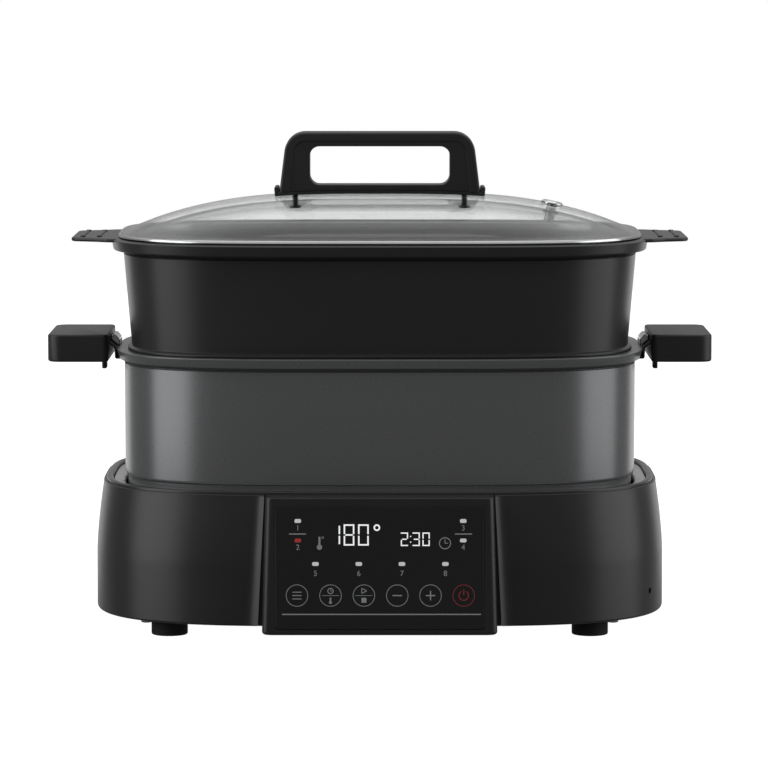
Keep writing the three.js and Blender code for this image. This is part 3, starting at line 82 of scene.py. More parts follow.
# A point of the plan's first corner and the way straight out of it
def planPoint(turn):
    reachX = plan["halfWidth"] - plan["frontStraight"]
    reachY = plan["halfDepth"] - plan["sideStraight"]
    bulge = 2 / plan["power"]
    along, across = abs(math.cos(turn)), abs(math.sin(turn))
    way = Vector((along ** (2 - bulge) / reachX, across ** (2 - bulge) / reachY)).normalized()
    return plan["frontStraight"] + reachX * along ** bulge, plan["sideStraight"] + reachY * across ** bulge, *way


def planOutline():
    points = []
    for signX, signY in ((1, 1), (-1, 1), (-1, -1), (1, -1)):
        for step in range(plan["cornerSteps"] + 1):
            share = step / plan["cornerSteps"]
            x, y, wayX, wayY = planPoint(math.pi / 2 * (share if signX == signY else 1 - share))
            points.append((x * signX, y * signY, wayX * signX, wayY * signY))
    return points


# Rounds the corners of a line of (across, up, radius) points
def softened(corners, closed=True, steps=4):
    points = []
    last = len(corners) - 1
    for i, (x, y, *more) in enumerate(corners):
        radius = more[0] if more else 0
        if not radius or (not closed and i in (0, last)):
            points.append((x, y))
            continue
        here = Vector((x, y))
        before = Vector(corners[i - 1][:2]) - here
        after = Vector(corners[(i + 1) % len(corners)][:2]) - here
        half = before.angle(after) / 2
        cut = min(radius / math.tan(half), before.length * 0.49, after.length * 0.49)
        centre = here + (before.normalized() + after.normalized()).normalized() * (cut / math.cos(half))
        start = here + before.normalized() * cut - centre
        end = here + after.normalized() * cut - centre
        turn = start.angle_signed(end)
        for step in range(steps + 1):
            swing = -turn * step / steps
            points.append((
                centre.x + start.x * math.cos(swing) - start.y * math.sin(swing),
                centre.y + start.x * math.sin(swing) + start.y * math.cos(swing),
            ))
    return points


# Adds to each point of a closed outline the way it moves when the outline is drawn in
def mitred(points):
    made = []
    for i, point in enumerate(points):
        here = Vector(point)
        before = (here - Vector(points[i - 1])).normalized()
        after = (Vector(points[(i + 1) % len(points)]) - here).normalized()
        first = Vector((before.y, -before.x))
        second = Vector((after.y, -after.x))
        way = (first + second) / (1 + first.dot(second))
        made.append((here.x, here.y, way.x, way.y))
    return made


# Layers from low to high whose two ends are rounded
def roundedLayers(low, high, radius, steps):
    arcs = [math.pi / 2 * i / steps for i in range(steps + 1)]
    layers = [(radius * (1 - math.sin(t)), low + abs(radius) * (1 - math.cos(t))) for t in arcs]
    return layers + [(radius * (1 - math.cos(t)), high - abs(radius) * (1 - math.sin(t))) for t in arcs]


def circleOutline(radius, count):
    turns = [math.tau * i / count for i in range(count)]
    return [(radius * math.cos(t), radius * math.sin(t), math.cos(t), math.sin(t)) for t in turns]


def boxOutline(width, height, radius, steps=5):
    x, y = width / 2, height / 2
    corners = [(x, -y, radius), (x, y, radius), (-x, y, radius), (-x, -y, radius)]
    return mitred(softened(corners, steps=steps))


def select(*pieces):
    bpy.ops.object.select_all(action="DESELECT")
    for piece in pieces:
        piece.select_set(True)
    bpy.context.view_layer.objects.active = pieces[0]


def modify(piece, kind, **settings):
    made = piece.modifiers.new(kind.lower(), kind)
    for key, value in settings.items():
        setattr(made, key, value)
    select(piece)
    bpy.ops.object.modifier_apply(modifier=made.name)


def carve(piece, cutter, operation="DIFFERENCE"):
    modify(piece, "BOOLEAN", operation=operation, object=cutter, solver="EXACT")
    bpy.data.objects.remove(cutter)


def smooth(piece, degrees=32):
    select(piece)
    bpy.ops.object.shade_smooth_by_angle(angle=math.radians(degrees))


# Smooth shading that keeps the flat faces flat beside their rounded edges
def crisp(piece, degrees=30):
    smooth(piece, degrees)
    modify(piece, "WEIGHTED_NORMAL", keep_sharp=True, weight=50)


def join(name, pieces):
    select(*pieces)
    if len(pieces) > 1:
        bpy.ops.object.join()
    made = bpy.context.object
    made.name = made.data.name = name
    return made


# A circle is pulled up into a stack of rings, which is joined into a loop or filled at its
# ends, and every point is then moved to its place by its turn and its ring
def ringStack(name, count, rings, joined, place):
    bpy.ops.object.select_all(action="DESELECT")
    bpy.ops.mesh.primitive_circle_add(vertices=count, radius=1, location=(0, 0, 0))
    piece = bpy.context.object
    piece.name = piece.data.name = name
    bpy.ops.object.mode_set(mode="EDIT")
    bpy.ops.mesh.select_mode(type="EDGE")
    bpy.ops.mesh.select_all(action="SELECT")
    for _ in range(rings - 1):
        bpy.ops.mesh.extrude_edges_move(TRANSFORM_OT_translate={"value": (0, 0, 1)})
    bpy.ops.mesh.select_all(action="DESELECT")
    bpy.ops.mesh.select_non_manifold()
    if joined:
        bpy.ops.mesh.bridge_edge_loops()
    else:
        bpy.ops.mesh.fill_holes(sides=0)
    bpy.ops.object.mode_set(mode="OBJECT")
    for point in piece.data.vertices:
        turn = round((math.atan2(point.co.y, point.co.x) / math.tau - 0.25) * count) % count
        point.co = Vector(place(turn, round(point.co.z))) * mm
    bpy.ops.object.mode_set(mode="EDIT")
    bpy.ops.mesh.select_all(action="SELECT")
    bpy.ops.mesh.remove_doubles(threshold=2e-6)
    bpy.ops.mesh.normals_make_consistent(inside=False)
    bpy.ops.object.mode_set(mode="OBJECT")
    return piece


# An outline drawn in by each layer's (inset, level, share) and stacked along an axis
def layered(name, outline, layers, axis="Z", centre=(0, 0, 0), joined=False):
    def place(turn, ring):
        inset, level, *more = layers[ring]
        share = more[0] if more else 1
        a, b, wayA, wayB = outline[turn]
        a, b = (a - wayA * inset) * share, (b - wayB * inset) * share
        spot = {"X": (level, a, b), "Y": (a, level, b), "Z": (a, b, level)}[axis]
        return Vector(spot) + Vector(centre)

    return ringStack(name, len(outline), len(layers), joined, place)


# An outline pulled straight from one level to another
def prism(name, outline, low, high, axis="Z", centre=(0, 0, 0)):
    return layered(name, outline, [(0, low), (0, high)], axis, centre)


# The plan swept through a profile of (inset, height) points
def planBody(name, profile, joined=True):
    return layered(name, planRing, profile, centre=amid, joined=joined)


# A turned body round an upright axis, from a profile of (radius, height) points
def turned(name, profile, x=0, y=middleY, count=48, joined=False):
    def place(turn, ring):
        radius, height = profile[ring]
        angle = math.tau * turn / count
        return x + radius * math.cos(angle), y + radius * math.sin(angle), height

    return ringStack(name, count, len(profile), joined, place)


def box(name, low, high):
    bpy.ops.object.select_all(action="DESELECT")
    bpy.ops.mesh.primitive_cube_add(size=1)
    piece = bpy.context.object
    piece.name = piece.data.name = name
    low, high = Vector(low) * mm, Vector(high) * mm
    piece.data.transform(Matrix.Translation((low + high) / 2) @ Matrix.Diagonal((*(high - low), 1)))
    return piece


def copied(piece, name, turn=None):
    twin = piece.copy()
    twin.data = piece.data.copy()
    twin.name = twin.data.name = name
    bpy.context.scene.collection.objects.link(twin)
    if turn is not None:
        twin.data.transform(turn)
        if turn.determinant() < 0:
            twin.data.flip_normals()
    return twin


toLeft = Matrix.Scale(-1, 4, (1, 0, 0))


def moved(x, y, z=0):
    return Matrix.Translation(Vector((x, y, z)) * mm)


# Gives a piece its material and body, and hides the nodes it stands for
def settle(piece, material, slotName, body, *stoodFor):
    piece.data.materials.clear()
    piece.data.materials.append(material)
    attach(piece, body)
    if stoodFor:
        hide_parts(*stoodFor)


def linear(code):
    parts = [int(code[i:i + 2], 16) / 255 for i in (1, 3, 5)]
    return [p / 12.92 if p <= 0.04045 else ((p + 0.055) / 1.055) ** 2.4 for p in parts] + [1]


# Adds a shader node with its settings, its fixed values and what is linked into it
def addNode(tree, kind, settings=None, values=None, links=None):
    made = tree.nodes.new("ShaderNode" + kind)
    for key, value in (settings or {}).items():
        setattr(made, key, value)
    for key, value in (values or {}).items():
        made.inputs[key].default_value = value
    for key, source in (links or {}).items():
        tree.links.new(source, made.inputs[key])
    return made


# One finish: a base colour that drifts towards a second one in soft patches, a fine grain
# in the bump and the roughness, and whatever fixed values its shader needs.
# Sizes are in millimetres: grainSize is the spacing of the fine relief, patch that of the drift.
def finish(name, colour, drift, patch, grainSize, depth, roughness, settings, more={}):
    material = bpy.data.materials.new(name)
    material.use_nodes = True
    tree = material.node_tree
    tree.nodes.clear()
    place = addNode(tree, "TexCoord").outputs["Object"]
    stretch = addNode(
        tree, "Mapping",
        values={"Location": more.get("centre", (0, 0, 0)), "Scale": more.get("stretch", (1, 1, 1))},
        links={"Vector": place},
    ).outputs["Vector"]
    patches = addNode(
        tree, "TexNoise", values={"Scale": 1000 / patch, "Detail": 3.0}, links={"Vector": place},
    ).outputs["Fac"]
    grain = addNode(
        tree, "TexNoise", values={"Scale": 1000 / grainSize, "Detail": 2.0}, links={"Vector": stretch},
    ).outputs["Fac"]
    if "rings" in more:
        wave = addNode(
            tree, "TexWave", {"wave_type": "RINGS", "rings_direction": "Z"},
            {"Scale": 1000 / more["rings"] / 20 * math.pi, "Distortion": 0.4}, {"Vector": stretch},
        ).outputs["Fac"]
        grain = addNode(
            tree, "Mix", {"data_type": "FLOAT"}, {0: 0.35}, {2: wave, 3: grain},
        ).outputs[0]
    shade = addNode(
        tree, "Mix", {"data_type": "RGBA"},
        {6: linear(colour), 7: linear(drift)}, {0: patches},
    ).outputs[2]
    rough = addNode(
        tree, "MapRange",
        values={"From Min": 0.3, "From Max": 0.7, "To Min": roughness[0], "To Max": roughness[1]},
        links={"Value": grain},
    ).outputs[0]
    relief = addNode(
        tree, "Bump", values={"Strength": more.get("relief", 0.2), "Distance": depth * mm},
        links={"Height": grain},
    ).outputs["Normal"]
    shader = addNode(
        tree, "BsdfPrincipled", values=settings, links={"Base Color": shade, "Roughness": rough, "Normal": relief},
    )
    addNode(tree, "OutputMaterial", links={"Surface": shader.outputs["BSDF"]})
    return material


metal = {"Metallic": 1.0}
# Each finish: colour, drift, patch, grain, depth, roughness from least to most, shader settings
finishes = {
    # ABS moulded in a finely spark-eroded tool: satin black with a soft wide highlight
    "satinAbs": ("#1d1d1e", "#232324", 60, 0.8, 0.04, (0.3, 0.38), {"IOR": 1.5}),
    # Glass-filled polyamide of the grips and handle: a little drier than the casing
    "satinPolyamide": ("#1a1a1b", "#212122", 40, 0.7, 0.05, (0.4, 0.5), {"IOR": 1.52}),
    # Sheet steel under black baked enamel paint: smoother than the plastics
    "bakedBlack": ("#1e1e1f", "#262627", 50, 1.2, 0.03, (0.28, 0.36), {"IOR": 1.5}),
    # Toughened panel glass printed black behind: near-mirror gloss
    "panelBlack": ("#18181a", "#1b1b1c", 80, 2.5, 0.002, (0.05, 0.08), {"IOR": 1.52}),
    # Drawn stainless steel with a satin polish round the wall
    "satinSteel": ("#b4b5b6", "#c4c5c6", 70, 0.5, 0.01, (0.26, 0.4), metal, {"stretch": (0.04, 0.04, 1)}),
    # Polished stainless trim: bright, faintly brushed along its length
    "polishedSteel": (
        "#d6d7d8", "#c8c9ca", 30, 0.4, 0.004, (0.14, 0.24), metal, {"stretch": (0.05, 0.05, 1)},
    ),
    # Cast aluminium under a grey ceramic non-stick coat: an even satin
    "ceramicGrey": ("#717273", "#747576", 45, 0.9, 0.006, (0.27, 0.31), {"Metallic": 0.6}),
    # Pressed aluminium under a black PTFE coat: satin, close to the casing in tone
    "ptfeBlack": ("#222223", "#282829", 55, 0.8, 0.03, (0.3, 0.38), {"IOR": 1.45}),
    # Cast aluminium hotplate, faced on a lathe: fine rings about the sensor
    "facedAluminium": (
        "#8d8e90", "#9a9b9d", 40, 0.6, 0.03, (0.32, 0.5), metal,
        {"rings": 0.8, "centre": (0, -middleY * mm, 0)},
    ),
    # Sheathed element: nickel steel browned by heat
    "scaledSteel": ("#5c5650", "#46413e", 14, 0.9, 0.03, (0.4, 0.6), metal),
    # Aluminised steel sheet: bright, with a faint spangle
    "aluminisedSheet": ("#a6a7a8", "#b6b7b8", 9, 2.0, 0.01, (0.25, 0.4), metal),
    # Turned and nickel-plated screws: bright satin
    "nickelSteel": ("#a2a3a5", "#b0b1b2", 6, 0.3, 0.006, (0.2, 0.34), metal),
    # Styrene rubber feet: matt and slightly dusty
    "feetRubber": ("#101010", "#181818", 12, 0.6, 0.06, (0.7, 0.85), {"IOR": 1.5}),
    # Silicone of the seals and wire jackets: dark, soft sheen
    "siliconeGrey": ("#363637", "#3f3f40", 15, 0.8, 0.02, (0.55, 0.68), {"IOR": 1.41}),
    # Glass-epoxy circuit board under green solder mask
    "solderMask": ("#25533a", "#1d4430", 8, 0.7, 0.02, (0.35, 0.45), {"IOR": 1.55}),
    # Enamelled copper winding: fine turns with a lacquer shine
    "lacquerCopper": (
        "#a6693a", "#8d5227", 10, 0.5, 0.05, (0.25, 0.4), metal, {"stretch": (0.05, 0.05, 1)},
    ),
    # Polybutylene moulded parts inside: off-white, plain satin
    "mouldedWhite": ("#d6d6d1", "#cbcbc5", 20, 0.9, 0.02, (0.45, 0.55), {"IOR": 1.53}),
    # Toughened lid glass: clear. An even pane doesn't bend what is behind it, so its gloss is in the
    # coat and what passes through goes straight
    "lidGlass": (
        "#e3e5e4", "#e5e7e6", 90, 60, 0.01, (0.0, 0.0),
        {"IOR": 1.0, "Transmission Weight": 1.0, "Coat Weight": 1.0, "Coat IOR": 1.5, "Coat Roughness": 0.01},
        {"relief": 0.05},
    ),
    # Screen-printed grey ink on the panel glass, with a painted glow: its emission lights the ink although the ink is
    # no lamp
    "greyInkPaintedGlow": (
        "#8b8c8d", "#7f8081", 5, 0.4, 0.005, (0.5, 0.6),
        {"IOR": 1.5, "Emission Color": linear("#6f7072"), "Emission Strength": 0.25},
    ),
    # Printed red ring and symbol of the power field, with a painted glow: its emission lights the ink although the
    # ink is no lamp
    "redInkPaintedGlow": (
        "#7c2a2a", "#6f2424", 5, 0.4, 0.005, (0.5, 0.6),
        {"IOR": 1.5, "Emission Color": linear("#8a2422"), "Emission Strength": 0.22},
    ),
    # Diffuser of a white display segment or light that is on
    "litWhite": (
        "#d8d9da", "#d0d1d2", 4, 0.3, 0.003, (0.4, 0.5),
        {"Emission Color": linear("#e6e7e8"), "Emission Strength": 0.75},
    ),
    # Diffuser of a light that is off: translucent grey-white resin, with a painted glow in its emission although the
    # light is off
    "unlitResinPaintedGlow": (
        "#bfc0c1", "#b6b7b8", 4, 0.3, 0.003, (0.4, 0.5),
        {"Emission Color": linear("#b8b9ba"), "Emission Strength": 0.5},
    ),
    # Diffuser of the one red light that is on
    "litRed": (
        "#8a2422", "#7e201f", 4, 0.3, 0.003, (0.4, 0.5),
        {"Emission Color": linear("#a83434"), "Emission Strength": 0.38},
    ),
}
materials = {name: finish(name, *spec) for name, spec in finishes.items()}
slotFinish = {
    "casing_black": "satinAbs", "grip_black": "satinPolyamide", "rim_black": "bakedBlack",
    "panel_glass": "panelBlack", "liner_steel": "satinSteel", "band_steel": "polishedSteel",
    "pot_grey": "ceramicGrey", "steamer_black": "ptfeBlack", "plate_alloy": "facedAluminium",
    "element_steel": "scaledSteel", "shield_steel": "aluminisedSheet", "clear_glass": "lidGlass",
    "rubber_black": "feetRubber", "silicone_grey": "siliconeGrey", "board_green": "solderMask",
    "copper_wire": "lacquerCopper", "part_white": "mouldedWhite", "screw_steel": "nickelSteel",
}
slotOf = {row["node"]: row["material_slot"] for row in frame["record"]["subparts"]}
bodyOf = {node: body for body, held in frame["record"]["behaviour"]["bodies"].items() for node in held}


# Gives a piece the finish of the node's slot and the node's body, and hides the node that it stands for
def standIn(piece, node, degrees=None):
    if degrees:
        smooth(piece, degrees)
    settle(piece, materials[slotFinish[slotOf[node]]], slotOf[node], bodyOf[node], node)


print("materials made:", len(materials))

planRing = planOutline()

# Base housing
housing = {
    "bottom": 11.2, "straightTop": 48.7, "taperTop": 95.2, "top": 96.6, "taper": 4.7, "taperPower": 1.5,
    "taperSteps": 10, "footRound": 1.6, "shoulder": 0.6, "wall": 3, "seat": 6.5, "lipInset": 14.1,
    "lipTop": 93.4, "lipBottom": 90.8, "notch": (-160, -126.85),
    "inletHole": ((44.7, 115, 31.2), (75.3, 160, 52.8)),
}
flare = {"low": 9.5, "high": 7, "turn": 40, "steps": 9, "sunk": 0.03, "rear": 2.2, "tail": 0.8}
drill = {"turn": 27, "radius": 2.1, "height": 27.2}  # the small hole low in the right front corner
panel = {
    "front": -145.65, "back": -117.65, "crownBack": -127.15, "bottom": 7, "top": 96.9, "neck": 90.5,
    "width": 152.8, "taper": 5.2, "wall": 2.5, "groove": 3, "grooveTop": 1.1, "sideRound": 4.5, "edgeRound": 0.9,
    "flange": (0.6, -128.4, -127), "footRound": 2.4,
    "hollowTop": 88, "glassLow": 11.1, "glassHigh": 90.6, "glassWidth": 135, "glassThickness": 1.6,
    "window": 4, "fit": 0.3,
}


def housingInset(height):
    share = (height - housing["straightTop"]) / (housing["taperTop"] - housing["straightTop"])
    return housing["taper"] * max(min(share, 1), 0) ** housing["taperPower"]


def panelShare(height):
    return (height - panel["bottom"]) / (panel["top"] - panel["bottom"])


def panelHalf(height):
    return (panel["width"] - panel["taper"] * panelShare(height)) / 2


# From the middle to the far side of the groove beside the panel, which narrows towards its top
def grooveHalf(height):
    return panelHalf(height) + panel["groove"] + (panel["grooveTop"] - panel["groove"]) * panelShare(height)


def housingLevels():
    rise = housing["taperTop"] - housing["straightTop"]
    return [housing["straightTop"] + rise * i / housing["taperSteps"] for i in range(housing["taperSteps"] + 1)]


# How far forward the housing's front face stands at a place across it
def frontAt(x, inset):
    reach = max(abs(x) - plan["frontStraight"], 0) / (plan["halfWidth"] - plan["frontStraight"])
    depth = (plan["halfDepth"] - plan["sideStraight"]) * (1 - reach ** plan["power"]) ** (1 / plan["power"])
    return middleY - plan["sideStraight"] - depth + inset


# An upright slab, the same on both sides, whose half width and front change with the height
def slab(name, levels, half, front, back):
    def place(turn, ring):
        height = levels[ring]
        wide, fore = half(height), front(height)
        return *((wide, back), (-wide, back), (-wide, fore), (wide, fore))[turn], height

    return ringStack(name, 4, len(levels), False, place)


# A slab across the grooves and `extra` more, `sunk` behind the housing's leaning front
def frontSlab(name, levels, extra, sunk, foremost, back):
    def front(height):
        return min(frontAt(grooveHalf(height) + extra, housingInset(height)) + sunk, foremost)

    return slab(name, levels, lambda height: grooveHalf(height) + extra, front, back)


# A slab with the panel's leaning sides
def panelSlab(low, high, margin, front, back):
    return slab("cutter", (low, high), lambda height: panelHalf(height) + margin, lambda height: front, back)


# Beside the groove the housing sweeps forward towards the panel, one strip on each side
def flareStrip(side):
    levels = [housing["bottom"] + housing["footRound"] * 0.6] + housingLevels()
    levels.append(housing["top"] - housing["shoulder"])
    most = math.radians(flare["turn"])
    turns = [most * i / flare["steps"] for i in range(flare["steps"] + 1)]

    def place(turn, ring):
        height = levels[ring]
        wide = flare["low"] + (flare["high"] - flare["low"]) * panelShare(height)
        half = grooveHalf(height)
        radius = wide / math.sin(most)
        line = [(half + wide - radius * math.sin(t), radius * (1 - math.cos(t))) for t in turns]
        line = [(x, frontAt(x, housingInset(height)) + flare["sunk"] - rise) for x, rise in line]
        rear = line[0][1] + flare["rear"]
        line += [(half - 1, line[-1][1] - flare["tail"]), (half - 1, rear), (half + wide, rear)]
        x, y = line[turn if side > 0 else -1 - turn]
        return side * x, y, height

    return ringStack("flare", len(turns) + 3, len(levels), False, place)


def makeHousing():
    wall = housing["wall"]
    levels = housingLevels()
    outer = [(0, housing["bottom"], housing["footRound"])]
    outer += [(housingInset(h), h) for h in levels]
    outer += [(housing["taper"], housing["top"], housing["shoulder"]), (housing["seat"], housing["top"])]
    inner = [(housing["seat"], housing["lipTop"]), (housing["lipInset"], housing["lipTop"], 0.5)]
    inner += [(housing["lipInset"], housing["lipBottom"])]
    inner += [(housingInset(h) + wall, min(h, housing["lipBottom"])) for h in reversed(levels)]
    inner += [(wall, housing["bottom"])]
    piece = planBody("housingShell", softened(outer + inner))
    low = [housing["bottom"]] + [h for h in levels if h < housing["lipBottom"]]
    cheeks = frontSlab("cheeks", low, wall, 1.8, panel["crownBack"], panel["back"])
    carve(piece, cheeks, "UNION")
    for side in (-1, 1):
        carve(piece, flareStrip(side), "UNION")
    foremost, back = housing["notch"]
    carve(piece, slab("cutter", [0] + levels + [housing["top"] + 3], grooveHalf, lambda height: foremost, back))
    carve(piece, panelSlab(0, housing["lipBottom"], 1.5, -128, panel["back"] + 2))
    carve(piece, box("cutter", *housing["inletHole"]))
    x, y, wayX, wayY = planPoint(math.radians(drill["turn"]))
    hole = turned("cutter", [(drill["radius"], -8), (drill["radius"], 8)], y=0, count=24)
    aim = Vector((wayX, -wayY, 0)).to_track_quat("Z", "Y").to_matrix().to_4x4()
    hole.data.transform(moved(x, middleY - y, drill["height"]) @ aim)
    carve(piece, hole)
    crisp(piece)
    standIn(piece, "base_housing")


makeHousing()
print("housing made")


# Panel bezel and glass
def makeBezel():
    radius = panel["edgeRound"]
    arcs = [math.pi / 2 * i / 4 for i in range(5)]
    foot = panel["footRound"]
    levels = [(foot * (1 - math.sin(t)), panel["bottom"] + foot * (1 - math.cos(t)), "back") for t in arcs]
    levels += [(0, panel["neck"], "back"), (0, panel["neck"], "crownBack")]
    levels += [(radius * (1 - math.cos(t)), panel["top"] - radius * (1 - math.sin(t)), "crownBack") for t in arcs]
    turns = [math.pi / 2 * i / 6 for i in range(7)]
    bend = panel["sideRound"]

    def place(turn, ring):
        inset, height, back = levels[ring]
        half = panelHalf(height) - inset
        front = panel["front"] + inset
        side = [(half, panel[back])]
        side += [(half - bend + bend * math.cos(t), front + bend - bend * math.sin(t)) for t in turns]
        section = side + [(-x, y) for x, y in reversed(side)]
        x, y = section[turn]
        return x, y, height

    piece = ringStack("bezelShell", 2 * (len(turns) + 1), len(levels), False, place)
    wallBack = panel["front"] + panel["wall"] + panel["glassThickness"] + panel["fit"]
    low = panel["bottom"] + panel["wall"]
    hollow = panelSlab(low, panel["hollowTop"], -panel["wall"], wallBack, panel["back"] + 5)
    levels = [housing["bottom"] + 0.2] + housingLevels()
    carve(piece, frontSlab("flange", levels, -0.15, *panel["flange"]), "UNION")
    carve(piece, hollow)
    middle = (panel["glassLow"] + panel["glassHigh"]) / 2
    tall = panel["glassHigh"] - panel["glassLow"]
    fit, window = panel["fit"], panel["window"]
    # A recess for the glass and the opening behind it
    glassBack = panel["front"] + panel["glassThickness"]
    for margin, corner, back in ((fit, 2.3, glassBack + fit), (-window, 3, wallBack + 5)):
        outline = boxOutline(panel["glassWidth"] + 2 * margin, tall + 2 * margin, corner)
        carve(piece, prism("cutter", outline, panel["front"] - 5, back, "Y", (0, 0, middle)))
    crisp(piece)
    standIn(piece, "panel_bezel")
    glass = layered(
        "panelPane", boxOutline(panel["glassWidth"], tall, 2),
        [(0.35, panel["front"]), (0.1, panel["front"] + 0.1), (0, panel["front"] + 0.35), (0, glassBack)],
        "Y", (0, 0, middle),
    )
    crisp(glass, 50)
    standIn(glass, "panel_glass")


makeBezel()
print("panel made")

# What is printed on the panel glass and shines through it: places are (x, z)
prints = {
    "face": panel["front"] - 0.06, "back": panel["front"] + 0.06, "line": 0.55,
    "lights": [(-52.9, 81.9), (54, 81.9), (54, 69.2), (-41.5, 53.9), (-13.5, 53.9), (14.4, 53.9), (42.5, 53.9)],
    "lit": (-52.9, 69.2), "light": (4.2, 2.5, 0.9),
    "numbers": [
        (-52.9, 77.2), (-52.9, 64.6), (54, 77.2), (54, 64.6),
        (-41.5, 47.6), (-13.5, 47.6), (14.4, 47.6), (42.5, 47.6),
    ],
    "numberSize": 5, "underlines": [(-53.1, 73.4), (54.2, 73.4)], "underline": 11,
    "rings": {
        "list": (-53.5, 33.3), "timeAndHeat": (-31.8, 33.3), "playAndStop": (-10.2, 33.3), "minus": (11.4, 33.3),
        "plus": (32.9, 33.3), "power": (54.4, 33.3),
    },
    "signs": {"thermometer": (-38.9, 67.4), "clock": (42.2, 67.4)},
    "ringRadius": 7.2, "rule": (-63.2, 65.6, 21),
    "big": {"glyphs": "180*", "places": (-29, -19.8, -10.5, -1.8), "z": 72.8, "size": (6.9, 13.8), "stroke": 0.95},
    "small": {"glyphs": "2:30", "places": (16, 20, 23.6, 30), "z": 70, "size": (4.7, 8.8), "stroke": 0.75},
}
powerTurns = [math.radians(120 + 300 * i / 20) for i in range(21)]
powerBend = [(3.1 * math.cos(t), 3.1 * math.sin(t)) for t in powerTurns]
# From the middle of each symbol: strokes are (x1, z1, x2, z2, width), rings (x, z, radius, width)
# and pads (x, z, width, height, corner)
symbols = {
    "list": {"strokes": [(-3, rise, 3, rise) for rise in (-2.2, 0, 2.2)]},
    "timeAndHeat": {
        "strokes": [(-5.6, 0, 5.6, 0, 0.3), (0, 3, 0, 4.4, 0.4), (0, 3, 1.1, 3, 0.4), (0, -4.6, 0, -1.4, 1)],
        "rings": [(0, 3, 2)], "pads": [(0, -4.5, 2, 2, 0.95)],
    },
    "playAndStop": {
        "strokes": [(-5.6, 0, 5.6, 0, 0.3), (-1.4, 1.3, -1.4, 4.9), (-1.6, 4.9, 1.9, 3.1), (-1.6, 1.3, 1.9, 3.1)],
        "pads": [(0, -3.1, 3.2, 3.2, 0.3)],
    },
    "minus": {"strokes": [(-3.1, 0, 3.1, 0, 0.75)]},
    "plus": {"strokes": [(-3.1, 0, 3.1, 0, 0.75), (0, -3.1, 0, -0.38, 0.75), (0, 0.38, 0, 3.1, 0.75)]},
    "power": {
        "strokes": [(*start, *end, 0.65) for start, end in zip(powerBend, powerBend[1:])] + [(0, 0.4, 0, 4, 0.7)],
    },
    "thermometer": {
        "strokes": [(0, -2, 0, 4.2, 1.3)], "rings": [(2.1, 3.6, 0.8, 0.35)], "pads": [(0, -2.6, 3.4, 3.4, 1.65)],
    },
    "clock": {"strokes": [(0, 0, 0, 2.6, 0.5), (0, 0, 2, 0, 0.5)], "rings": [(0, 0, 3.9, 0.6)]},
}
digits = {"0": "abcdef", "1": "bc", "2": "abged", "3": "abgcd", "8": "abcdefg"}


def stroke(x1, z1, x2, z2, width=None):
    width = width or prints["line"]
    length = math.hypot(x2 - x1, z2 - z1)
    piece = box("stroke", (-length / 2, prints["face"], -width / 2), (length / 2, prints["back"], width / 2))
    turn = Matrix.Rotation(-math.atan2(z2 - z1, x2 - x1), 4, "Y")
    piece.data.transform(moved((x1 + x2) / 2, 0, (z1 + z2) / 2) @ turn)
    return piece


def ring(x, z, radius, width=None):
    width = width or prints["line"]
    face, back = prints["face"], prints["back"]
    return layered(
        "ring", circleOutline(radius, 48), [(0, back), (0, face), (width, face), (width, back)], "Y", (x, 0, z), True,
    )


def pad(x, z, width, height, corner):
    return prism("pad", boxOutline(width, height, corner), prints["back"], prints["face"], "Y", (x, 0, z))


def number(text, x, z, size):
    bpy.ops.object.select_all(action="DESELECT")
    bpy.ops.object.text_add(location=(0, 0, 0))
    piece = bpy.context.object
    piece.data.body = text
    piece.data.size = size * mm
    piece.data.extrude = (prints["back"] - prints["face"]) / 2 * mm
    piece.data.align_x, piece.data.align_y = "CENTER", "CENTER"
    bpy.ops.object.convert(target="MESH")
    piece = bpy.context.object
    middle = (prints["back"] + prints["face"]) / 2
    piece.data.transform(moved(x, middle, z) @ Matrix.Rotation(math.pi / 2, 4, "X"))
    bpy.ops.object.mode_set(mode="EDIT")
    bpy.ops.mesh.select_all(action="SELECT")
    bpy.ops.mesh.remove_doubles(threshold=1e-6)
    bpy.ops.object.mode_set(mode="OBJECT")
    return piece


def symbol(name, x, z):
    spec = symbols[name]
    pieces = [stroke(x + x1, z + z1, x + x2, z + z2, *width) for x1, z1, x2, z2, *width in spec["strokes"]]
    pieces += [ring(x + across, z + up, *sizes) for across, up, *sizes in spec.get("rings", ())]
    return pieces + [pad(x + across, z + up, *sizes) for across, up, *sizes in spec.get("pads", ())]


# Seven-bar figures; a star is the raised small ring of degrees
def figures(spec):
    pieces = []
    line = spec["stroke"]
    wide, tall = spec["size"][0] / 2, spec["size"][1] / 2
    for glyph, x in zip(spec["glyphs"], spec["places"]):
        z = spec["z"]
        if glyph == ":":
            pieces += [pad(x, z + rise, line, line, 0.2) for rise in (-0.42 * tall, 0.42 * tall)]
            continue
        if glyph == "*":
            pieces.append(ring(x, z + tall - wide * 0.62, wide * 0.62, line))
            continue
        side, top, split = wide - line / 2, tall - line, line * 0.6
        bars = {
            "a": (x - wide, z + tall - line / 2, x + wide, z + tall - line / 2),
            "g": (x - side + split, z, x + side - split, z),
            "d": (x - wide, z - tall + line / 2, x + wide, z - tall + line / 2),
            "b": (x + side, z + split, x + side, z + top), "c": (x + side, z - top, x + side, z - split),
            "e": (x - side, z - top, x - side, z - split), "f": (x - side, z + split, x - side, z + top),
        }
        pieces += [stroke(*bars[key], line) for key in digits[glyph]]
    return pieces


